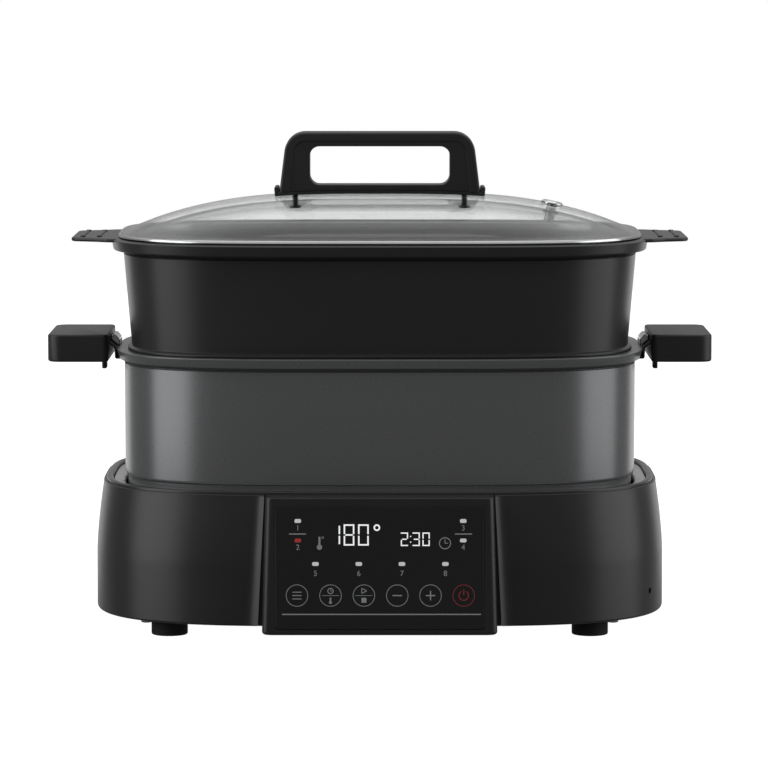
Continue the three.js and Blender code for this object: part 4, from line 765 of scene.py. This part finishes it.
def makePrints():
    unlit = [pad(x, z, *prints["light"]) for x, z in prints["lights"]]
    lit = pad(*prints["lit"], *prints["light"])
    red = []
    grey = [number(str(i + 1), x, z, prints["numberSize"]) for i, (x, z) in enumerate(prints["numbers"])]
    half = prints["underline"] / 2
    grey += [stroke(x - half, z, x + half, z, 0.7) for x, z in prints["underlines"]]
    radius = prints["ringRadius"]
    for name, place in prints["rings"].items():
        ink, width = (red, 0.45) if name == "power" else (grey, 0.42)
        ink += [ring(*place, radius, width)] + symbol(name, *place)
    for name, place in prints["signs"].items():
        grey += symbol(name, *place)
    left, right, level = prints["rule"]
    grey.append(stroke(left, level, right, level, 0.75))
    white = figures(prints["big"]) + figures(prints["small"])
    # The grey and red inks and the lights that are off carry a painted glow in their emission; only the display
    # figures and the red light are lit
    for name, pieces, look in (
        ("printGrey", grey, "greyInkPaintedGlow"), ("printRed", red, "redInkPaintedGlow"), ("displayFigures", white, "litWhite"),
        ("lightsOff", unlit, "unlitResinPaintedGlow"), ("lightOn", [lit], "litRed"),
    ):
        settle(join(name, pieces), materials[look], "part_white", "base")


makePrints()
print("panel prints made")

# Rim, liner, heating plate and sensor
rimProfile = [(6.8, 93.7), (6.8, 98.6, 0.9), (11.2, 98.6, 1.2), (11.2, 93.7)]
linerProfile = [
    (11.5, 93.7), (11.5, 96.3, 0.4), (18.6, 95.2, 1.2), (19.4, 94.0, 0.4), (19.4, 68, 3), (33.8, 68), (33.8, 67),
    (18.4, 67, 4), (18.4, 94.2, 0.5), (12.5, 95.3, 0.3), (12.5, 93.7),
]
plate = {"low": 68.3, "high": 80.3, "outer": 23.8, "edge": 1.3, "bore": 17, "boreEdge": 0.6}
sensorProfile = [(0, 78.8), (14, 78.8), (14, 70.3), (15.5, 70.3), (15.5, 80.3, 1.2), (0, 80.3)]


def makeWell():
    rim = planBody("rimRing", softened(rimProfile))
    standIn(rim, "top_rim", 32)
    liner = planBody("linerShell", softened(linerProfile, steps=5))
    standIn(liner, "well_liner", 32)
    low, high, edge = plate["low"], plate["high"], plate["edge"]
    rings = [
        (plate["outer"], low, 0), (plate["outer"], high - edge, 0),
        (plate["outer"] + edge * 0.3, high - edge * 0.3, 0), (plate["outer"] + edge, high, 0),
        (plate["bore"] + plate["boreEdge"], high, 1), (plate["bore"], high - plate["boreEdge"], 1),
        (plate["bore"], low, 1),
    ]

    def place(turn, ring):
        reach, height, round_ = rings[ring]
        x, y, wayX, wayY = planRing[turn]
        if round_:
            spot = Vector((x, y)).normalized() * reach
            return spot.x, spot.y + middleY, height
        return x - wayX * reach, y - wayY * reach + middleY, height

    disc = ringStack("hotPlate", len(planRing), len(rings), True, place)
    standIn(disc, "heating_plate", 32)
    cap = turned("sensorButton", softened(sensorProfile, closed=False), count=64)
    standIn(cap, "sensor_cap", 32)


makeWell()
print("well made")

# Spring under the sensor
coil = {"radius": 8, "wire": 0.8, "turns": 5, "steps": 100, "low": 54.6, "high": 78.5, "travel": 2}


def makeCoil():
    high = coil["high"] - coil["low"]

    def place(turn, ring):
        share = ring / coil["steps"]
        way, roll = math.tau * coil["turns"] * share, math.tau * turn / 10
        reach = coil["radius"] + coil["wire"] * math.cos(roll)
        height = coil["low"] + coil["wire"] * (1 + math.sin(roll)) + (high - 2 * coil["wire"]) * share
        return reach * math.cos(way), reach * math.sin(way) + middleY, height

    piece = ringStack("sensorCoil", 10, coil["steps"] + 1, False, place)
    standIn(piece, "sensor_spring", 32)
    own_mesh(piece)


makeCoil()
print("spring made")

# Rubber feet
footProfile = [(0, 0), (12, 0, 1.2), (12, 11.2, 0.6), (3.5, 11.2), (3.5, 13.7), (0, 13.7)]
footPlace = (138.53, 94.98)
footHollow = [(7, -1), (7, 0.4), (6.2, 1.6), (0, 1.6)]


# Sets copies of a piece at the four corners in place of the first
def atCorners(first, name, node, x, y):
    for corner, signX, signY in (
        ("front_left", -1, -1), ("front_right", 1, -1), ("rear_left", -1, 1), ("rear_right", 1, 1),
    ):
        standIn(copied(first, name + corner, moved(signX * x, middleY + signY * y)), node + corner)
    bpy.data.objects.remove(first)


def makeFeet():
    foot = turned("foot", softened(footProfile, closed=False), y=0)
    carve(foot, turned("cutter", footHollow, y=0))
    smooth(foot)
    atCorners(foot, "pad_", "foot_", *footPlace)


makeFeet()
print("feet made")


# Screws: the lid's pair stands at bridgeX, the grips' at gripX
screw = {
    "head": (3.8, 2), "shank": 1.8, "pitch": 1.2, "thread": 0.35, "bridgeX": 57, "gripX": 195.3,
    "coverPlace": (153.13, 104.63), "cover": (9.2, 39.4), "grip": (175.6, 188.8), "lid": (275.9, 305.4),
}
washerProfile = [(2.1, 278.2), (7, 278.2, 0.5), (7, 279.7, 0.3), (2.1, 279.7)]


# A pan-head screw along +Z with a cross recess in its head
def screwBody(name, head, tip):
    radius, height = screw["head"]
    shank, pitch = screw["shank"], screw["pitch"]
    profile = [(0, head), (radius, head, 1.1), (radius, head + height), (shank, head + height, 0.2)]
    for i in range(int((tip - head - height - 2) / pitch)):
        level = head + height + 1 + pitch * i
        profile += [(shank, level), (shank - screw["thread"], level + pitch / 2)]
    profile += [(shank, tip - pitch), (0, tip)]
    piece = turned(name, softened(profile, closed=False, steps=3), y=0, count=24)
    for turn in (0, 90):
        slot = box("cutter", (-2.1, -0.45, head - 1), (2.1, 0.45, head + 1.1))
        slot.data.transform(Matrix.Rotation(math.radians(turn), 4, "Z"))
        carve(piece, slot)
    smooth(piece)
    return piece


def makeScrews():
    atCorners(screwBody("screw", *screw["cover"]), "coverScrew_", "cover_screw_", *screw["coverPlace"])
    gripScrew = screwBody("screw", *screw["grip"])
    lidScrew = screwBody("screw", *screw["lid"])
    for side, sign in (("left", -1), ("right", 1)):
        standIn(copied(gripScrew, "gripScrew_" + side, moved(sign * screw["gripX"], middleY)), "grip_screw_" + side)
        standIn(copied(lidScrew, "lidScrew_" + side, moved(sign * screw["bridgeX"], middleY)), "lid_screw_" + side)
        washer = turned("lidWasher_" + side, softened(washerProfile), x=sign * screw["bridgeX"], joined=True)
        standIn(washer, "lid_washer_" + side, 32)
    bpy.data.objects.remove(gripScrew)
    bpy.data.objects.remove(lidScrew)


# Holes for the lid's two screws
def drillPair(piece, low, high, count=24):
    for x in (-screw["bridgeX"], screw["bridgeX"]):
        carve(piece, turned("cutter", [(2.1, low), (2.1, high)], x=x, count=count))


makeScrews()
print("screws made")

# Appliance inlet at the back
inlet = {
    "x": 60, "z": 42, "back": 145.65, "flange": (38, 28, 3.5), "flangeThickness": 2, "body": (30, 21, 1.5),
    "bodyDepth": 26, "mouth": (24.5, 16), "mouthCut": 4.5, "mouthDepth": 18,
    "pins": ((53, 40), (67, 40), (60, 44)), "pinSize": (2.6, 4.6),
}


def makeInlet():
    back = inlet["back"]
    centre = (inlet["x"], 0, inlet["z"])
    rim = back - inlet["flangeThickness"]
    flange = layered(
        "inletBody", boxOutline(*inlet["flange"]), [(0, rim), (0, back - 0.5), (0.15, back - 0.15), (0.5, back)],
        "Y", centre,
    )
    body = prism("cutter", boxOutline(*inlet["body"]), back - inlet["bodyDepth"], back - 1, "Y", centre)
    carve(flange, body, "UNION")
    half, tall = inlet["mouth"][0] / 2, inlet["mouth"][1] / 2
    cut = inlet["mouthCut"]
    corners = [
        (half, -tall, 0.8), (half, tall - cut, 0.8), (half - cut, tall, 0.8), (-half + cut, tall, 0.8),
        (-half, tall - cut, 0.8), (-half, -tall, 0.8),
    ]
    mouth = layered(
        "cutter", mitred(softened(corners)),
        [(0, back - inlet["mouthDepth"]), (0, back - 0.8), (-0.8, back), (-0.8, back + 3)], "Y", centre,
    )
    carve(flange, mouth)
    wide, high = inlet["pinSize"]
    for x, z in inlet["pins"]:
        low = (x - wide / 2, back - inlet["bodyDepth"] - 2, z - high / 2)
        carve(flange, box("cutter", low, (x + wide / 2, back - inlet["mouthDepth"] + 2, z + high / 2)))
    standIn(flange, "power_inlet", 30)


makeInlet()
print("inlet made")

# Cooking pot with its flange
potProfile = [
    (60, 80.6), (21.2, 80.6, 5), (21.2, 100.6, 0.5), (19.2, 101.8, 2.6), (19.0, 175.2, 0.2), (21.2, 175.5, 0.2),
    (19.0, 178, 0.3), (15.6, 178, 0.3), (13.8, 184, 0.5), (22.2, 184, 1.2), (22.4, 106, 2), (24.4, 102, 2),
    (24.4, 86, 10), (60, 86),
]


def makePot():
    piece = planBody("potShell", softened(potProfile, closed=False, steps=6), joined=False)
    standIn(piece, "cooking_pot", 32)


makePot()

# Side grips: the right one is made and mirrored
grip = {
    "inner": 181.3, "outer": 222, "halfWidth": 44, "corner": 9, "innerCorner": 4.2, "low": 175.3, "high": 193.7,
    "round": 1.4, "pegX": (184.6, 187.8), "pegHalf": 5.5, "pegLow": 167.6,
    "slotZ": (185.7, 187.7), "slotX": 206.6, "slotHalf": 17.3,
}
bracketProfile = [
    (171.5, 176.3), (177.6, 176.3, 1.4), (177.9, 183.3), (181, 186), (206.3, 186), (206.3, 187.4), (180.8, 187.4),
    (176.7, 184), (176.7, 177.7), (171.5, 177.7),
]
ferruleProfile = [
    (175.1, 184.3, 0.4), (176.4, 184.3), (181, 188, 0.3), (181, 191.2, 1.4), (178.2, 191.6, 2), (175.1, 188.2, 2),
]


def makeGrips():
    inner, outer, half = grip["inner"], grip["outer"], grip["halfWidth"]
    corners = [
        (inner, -half, grip["innerCorner"]), (outer, -half, grip["corner"]),
        (outer, half, grip["corner"]), (inner, half, grip["innerCorner"]),
    ]
    layers = roundedLayers(grip["low"], grip["high"], grip["round"], 5)
    piece = layered("grip_right_body", mitred(softened(corners, steps=6)), layers, "Z", amid)
    pegX = sum(grip["pegX"]) / 2
    peg = layered(
        "cutter", boxOutline(grip["pegX"][1] - grip["pegX"][0], 2 * grip["pegHalf"], 1.2),
        [(0.5, grip["pegLow"]), (0, grip["pegLow"] + 0.5), (0, grip["low"] + 3)], "Z", (pegX, middleY, 0),
    )
    carve(piece, peg, "UNION")
    low, high = grip["slotZ"]
    carve(piece, box(
        "cutter", (inner - 3, middleY - grip["slotHalf"], low), (grip["slotX"], middleY + grip["slotHalf"], high),
    ))
    for hole in ([(2.1, 170), (2.1, 189.1)], [(5.4, 170), (4.1, 175.6), (4.1, 177.9)]):
        carve(piece, turned("cutter", hole, x=screw["gripX"], count=24))
    crisp(piece)
    bracket = prism("bracket_right", mitred(softened(bracketProfile)), -29, 29, "Y", amid)
    smooth(bracket)
    ferrule = layered(
        "ferrule_right", mitred(softened(ferruleProfile)), [(0.5, -15), (0, -14.4), (0, 14.4), (0.5, 15)],
        "Y", amid,
    )
    smooth(ferrule)
    for made, node in ((piece, "grip_"), (bracket, "grip_bracket_"), (ferrule, "grip_ferrule_")):
        twin = copied(made, made.name.replace("right", "left"), toLeft)
        standIn(twin, node + "left")
        standIn(made, node + "right")


makeGrips()
print("pot and grips made")

# Steamer pan: slotted floor, flared wall, rolled rim and two side tabs
steamerProfile = [
    (60, 178), (24.1, 178, 3), (24.1, 184.3, 0.3), (21.4, 184.3, 0.3), (21.4, 185.8, 0.6), (23.9, 186.8, 0.3),
    (18.8, 247.9, 0.2), (20.1, 248.2, 0.2), (16.8, 250.6, 0.3), (11.9, 250.6, 1.2), (10.8, 257.5, 0.5),
    (15.6, 258.6, 0.5), (20.8, 258.6, 1), (25.8, 186.8, 1), (26.1, 184, 1), (26.1, 180, 4), (60, 180),
]
slots = {"size": (34, 6, 2.9), "columns": 5, "rows": 4, "pitch": (44, 26)}
tab = {
    "root": 175, "side": 179.4, "tip": 205.9, "rootHalf": 54, "tipHalf": 39, "low": 255.8, "high": 258.4,
    "ribs": (187.4, 198.4), "ribHalf": 31, "ribWidth": 1.6, "ribHigh": 259.4, "knob": 1.7,
}


def makeTab():
    middle = tab["side"] + 10
    wide = (tab["rootHalf"] + tab["tipHalf"]) / 2
    corners = [
        (tab["root"], -tab["rootHalf"]), (tab["side"] + 2, -tab["rootHalf"] + 2, 6), (middle, -wide, 8),
        (tab["tip"], -tab["tipHalf"], 8), (tab["tip"], tab["tipHalf"], 8), (middle, wide, 8),
        (tab["side"] + 2, tab["rootHalf"] - 2, 6), (tab["root"], tab["rootHalf"]),
    ]
    piece = layered(
        "tab", mitred(softened(corners, steps=6)),
        [(1, tab["low"]), (0.3, tab["low"] + 0.3), (0, tab["low"] + 1), (0, tab["high"] - 1),
         (0.3, tab["high"] - 0.3), (1, tab["high"])], "Z", amid,
    )
    # Each rib ends in a small round knob
    lean = math.acos(tab["ribWidth"] / 2 / tab["knob"])
    outline = []
    for flip in (1, -1):
        for i in range(15):
            angle = -lean + (math.pi + 2 * lean) * i / 14
            x, y = tab["knob"] * math.cos(angle), tab["ribHalf"] + tab["knob"] * math.sin(angle)
            outline.append((x * flip, y * flip))
    for x in tab["ribs"]:
        rib = layered(
            "rib", mitred(outline),
            [(0, tab["high"] - 0.7), (0, tab["ribHigh"] - 0.4), (0.12, tab["ribHigh"] - 0.12), (0.4, tab["ribHigh"])],
            "Z", (x, middleY, 0),
        )
        carve(piece, rib, "UNION")
    return piece


def makeSteamer():
    piece = planBody("steamerShell", softened(steamerProfile, closed=False, steps=6), joined=False)
    first = prism("cutter", boxOutline(*slots["size"]), 170, 181.5)
    cutters = []
    for column in range(slots["columns"]):
        for row in range(slots["rows"]):
            x = (column - (slots["columns"] - 1) / 2) * slots["pitch"][0]
            y = (row - (slots["rows"] - 1) / 2) * slots["pitch"][1]
            cutters.append(copied(first, "slotCutter", moved(x, y + middleY)))
    bpy.data.objects.remove(first)
    carve(piece, join("cutter", cutters))
    right = makeTab()
    carve(piece, copied(right, "cutter", toLeft), "UNION")
    carve(piece, right, "UNION")
    crisp(piece)
    standIn(piece, "steamer_pan")


makeSteamer()
print("steamer made")

# Lid: domed glass, steel band, saddle and bridge handle
dome = {
    "inset": 17.1, "halfWidth": 173.1, "low": 259.7, "edge": 261, "foot": 259.6, "rise": 26.3, "power": 3.05,
    "wall": 5, "steps": 26,
}
bandProfile = [
    (15.0, 259.4, 0.1), (15.7, 261.1, 0.7), (17.0, 261.1, 0.4), (16.9, 259.4), (21.8, 259.4, 0.3), (21.8, 254.4),
    (21.3, 254.4), (21.3, 258.9),
]
handle = {
    "footHalf": 67.5, "topHalf": 62.5, "top": 327.4, "topRound": 14, "depth": 28, "edge": 1.6, "raise": 2.8,
    "line": (5.7, 6.1, 0.6), "hole": (94, 25.9, 6.5), "holeMiddle": 305, "holeEdge": 1.2,
}
saddle = {"half": 70.5, "foot": 67.8, "thickness": 2.2, "lip": 290.8, "edge": 0.5}
vent = {
    "x": 116, "radius": 7.5, "stem": 3.2, "bore": 1.5, "cap": 2.4, "drop": 12,
    "sealRadius": 5.4, "sealZ": (-6.7, -4.3),
}


def domeHeight(share):
    return max(dome["foot"] + dome["rise"] * (1 - share ** dome["power"]), dome["edge"])


def domeAt(x):
    return domeHeight(abs(x) / dome["halfWidth"])


def ventPlace():
    fall = domeAt(vent["x"] - vent["radius"]) - domeAt(vent["x"] + vent["radius"])
    tilt = math.atan2(fall, 2 * vent["radius"])
    return moved(vent["x"], middleY, domeAt(vent["x"])) @ Matrix.Rotation(tilt, 4, "Y")


def makeLidGlass():
    shares = [1 - 0.98 * (i / dome["steps"]) ** 1.15 for i in range(1, dome["steps"] + 1)]
    inset = dome["inset"]
    lower = [(inset, max(domeHeight(s) - dome["wall"], dome["low"]), s) for s in reversed(shares)]
    edge = [(inset, dome["low"], 1), (inset - 0.25, dome["low"] + 0.4, 1), (inset - 0.25, dome["edge"] - 0.4, 1)]
    upper = [(inset, dome["edge"], 1)] + [(inset, domeHeight(s), s) for s in shares]
    piece = layered("lidPane", planRing, lower + edge + upper, "Z", amid)
    drillPair(piece, 270, 290, 32)
    hole = turned("cutter", [(vent["stem"] + 0.3, -8), (vent["stem"] + 0.3, 3)], y=0, count=32)
    hole.data.transform(ventPlace())
    carve(piece, hole)
    standIn(piece, "lid_glass", 40)
    band = planBody("lidRing", softened(bandProfile))
    standIn(band, "lid_band", 32)


def makeHandle():
    count = 24
    foot = handle["footHalf"]
    line = [foot * (1 - 2 * i / count) for i in range(count + 1)]
    corners = [(x, domeAt(x) + handle["raise"]) for x in reversed(line)]
    corners += [
        (handle["topHalf"], handle["top"], handle["topRound"]),
        (-handle["topHalf"], handle["top"], handle["topRound"]),
    ]
    outline = mitred(softened(corners, steps=10))
    outline = [
        (x, z, wayX if abs(x) > foot - 1 else 0, 0) if z < 292 and wayZ < 0 else (x, z, wayX, wayZ)
        for x, z, wayX, wayZ in outline
    ]
    half = handle["depth"] / 2
    layers = roundedLayers(-half, half, handle["edge"], 6)
    # The front and back faces lie a little lower inside a fine line
    outside, inside, drop = handle["line"]
    layers = [(inside, drop - half), (outside, -half)] + layers + [(outside, half), (inside, half - drop)]
    piece = layered("lidBridge", outline, layers, "Y", amid)
    radius = -handle["holeEdge"]
    layers = [(radius, -half - 5)] + roundedLayers(-half, half, radius, 4) + [(radius, half + 5)]
    hole = layered(
        "cutter", boxOutline(*handle["hole"], steps=8), layers, "Y", (0, middleY, handle["holeMiddle"]),
    )
    carve(piece, hole)
    drillPair(piece, 280, 305.7)
    crisp(piece)
    standIn(piece, "lid_handle")


def makeSaddle():
    count = 24
    wide, foot = saddle["half"], saddle["foot"]
    steps = [2 * i / count - 1 for i in range(count + 1)]
    under = [(wide * step, domeAt(wide * step) + 0.3) for step in steps]
    over = [(-foot * step, domeAt(foot * step) + 0.3 + saddle["thickness"]) for step in steps]
    corners = under + [(wide + 0.6, saddle["lip"], 1.2), (foot, saddle["lip"], 1.2)]
    corners += over + [(-foot, saddle["lip"], 1.2), (-wide - 0.6, saddle["lip"], 1.2)]
    edge = saddle["edge"]
    half = handle["depth"] / 2
    piece = layered(
        "lidSeat", mitred(softened(corners)), [(edge, -half), (0, -half + edge), (0, half - edge), (edge, half)],
        "Y", amid,
    )
    drillPair(piece, 280, 292)
    standIn(piece, "lid_saddle", 35)


def makeVent():
    radius, stem, bore, cap = vent["radius"], vent["stem"], vent["bore"], vent["cap"]
    profile = [
        (bore, -vent["drop"]), (stem, -vent["drop"], 0.4), (stem, 0.3), (radius, 0.3, 0.4), (radius, 1.5, 0.9),
        (radius - 1.6, 0.3 + cap, 0.9), (stem + 0.6, 0.3 + cap, 0.3), (stem + 0.3, cap - 0.4, 0.3),
        (bore + 0.6, cap - 0.4, 0.3), (bore, cap - 0.8),
    ]
    piece = turned("ventButton", softened(profile), y=0, joined=True)
    piece.data.transform(ventPlace())
    standIn(piece, "steam_vent", 32)
    bore, seal, (low, high) = stem + 0.3, vent["sealRadius"], vent["sealZ"]
    ring = turned(
        "ventGasket", softened([(bore, low), (seal, low, 0.5), (seal, high, 0.5), (bore, high)]), y=0, joined=True,
    )
    ring.data.transform(ventPlace())
    standIn(ring, "vent_seal", 32)


makeLidGlass()
makeHandle()
makeSaddle()
makeVent()
print("lid made")

# The CAD nodes left showing take the finish of their slots
for name, slotName in slotOf.items():
    node = nodes[name]
    if not node.hide_render:
        node.data.materials.clear()
        node.data.materials.append(materials[slotFinish[slotName]])

# Studio: a pale lit floor, soft boxes at both sides and above, and a low strip behind
bpy.ops.object.select_all(action="DESELECT")
bpy.ops.mesh.primitive_circle_add(vertices=96, radius=3, fill_type="NGON", location=(0, 0, 0))
floor = bpy.context.object
floor.name = "floor"
board = {"colour": "#949494", "lift": 1.0}  # lift is the table's own light, seen by the eye alone
paper = bpy.data.materials.new("lightTable")
paper.use_nodes = True
tree = paper.node_tree
tree.nodes.clear()
matt = addNode(tree, "BsdfDiffuse", values={"Color": linear(board["colour"])}).outputs[0]
lamp = addNode(tree, "Emission", values={"Strength": board["lift"]}).outputs[0]
both = addNode(tree, "AddShader", links={0: matt, 1: lamp}).outputs[0]
path = addNode(tree, "LightPath").outputs
seen = addNode(tree, "MixShader", links={0: path["Is Camera Ray"], 1: matt, 2: both}).outputs[0]
clear = addNode(tree, "BsdfTransparent").outputs[0]
table = addNode(tree, "MixShader", links={0: path["Is Glossy Ray"], 1: seen, 2: clear}).outputs[0]
addNode(tree, "OutputMaterial", links={"Surface": table})
floor.data.materials.append(paper)

lights = {
    "leftBox": {"place": (-1.62, -0.66, 0.5), "size": (1.4, 1.6), "power": 13},
    "rightBox": {"place": (1.73, -0.25, 0.5), "size": (1.6, 1.6), "power": 11.5},
    "topBox": {"place": (0, 0.1, 2.0), "size": (2.2, 1.4), "power": 7},
    "backStrip": {"place": (0, 1.3, 0.03), "size": (2.1, 0.38), "power": 2},
}
for name, spec in lights.items():
    lamp = bpy.data.lights.new(name, "AREA")
    lamp.shape = "RECTANGLE"
    lamp.size, lamp.size_y = spec["size"]
    lamp.energy = spec["power"]
    made = bpy.data.objects.new(name, lamp)
    made.location = spec["place"]
    aim = Vector((0, 0, 0.15)) - Vector(spec["place"])
    made.rotation_euler = aim.to_track_quat("-Z", "Y").to_euler()
    bpy.context.scene.collection.objects.link(made)

# The room: white to the eye and through the glass, and to reflections brighter above and behind
room = {"base": 0.115, "behind": 0.22, "up": 0.5, "ceiling": (0.12, 0.65)}
world = bpy.data.worlds.new("room")
bpy.context.scene.world = world
world.use_nodes = True
tree = world.node_tree
tree.nodes.clear()
way = addNode(tree, "TexCoord").outputs["Generated"]
parts = addNode(tree, "SeparateXYZ", links={"Vector": way}).outputs
overhead = addNode(
    tree, "MapRange", {"interpolation_type": "SMOOTHSTEP"},
    {"From Min": room["ceiling"][0], "From Max": room["ceiling"][1], "To Min": room["base"],
     "To Max": room["base"] + room["up"]}, {"Value": parts["Z"]},
).outputs[0]
ahead = addNode(tree, "Math", {"operation": "MAXIMUM"}, {1: 0.0}, {0: parts["Y"]}).outputs[0]
ahead = addNode(tree, "Math", {"operation": "POWER"}, {1: 2.0}, {0: ahead}).outputs[0]
level = addNode(
    tree, "Math", {"operation": "MULTIPLY_ADD"}, {1: room["behind"]}, {0: ahead, 2: overhead},
).outputs[0]
glow = addNode(tree, "Background", links={"Color": level}).outputs[0]
white = addNode(tree, "Background", values={"Color": (1, 1, 1, 1), "Strength": 1.0}).outputs[0]
path = addNode(tree, "LightPath").outputs
turns = addNode(
    tree, "Math", {"operation": "ADD"}, links={0: path["Diffuse Depth"], 1: path["Glossy Depth"]},
).outputs[0]
toEye = addNode(tree, "Math", {"operation": "LESS_THAN"}, {1: 0.5}, {0: turns}).outputs[0]
shown = addNode(tree, "MixShader", links={0: toEye, 1: glow, 2: white}).outputs[0]
addNode(tree, "OutputWorld", links={"Surface": shown})
print("studio made")
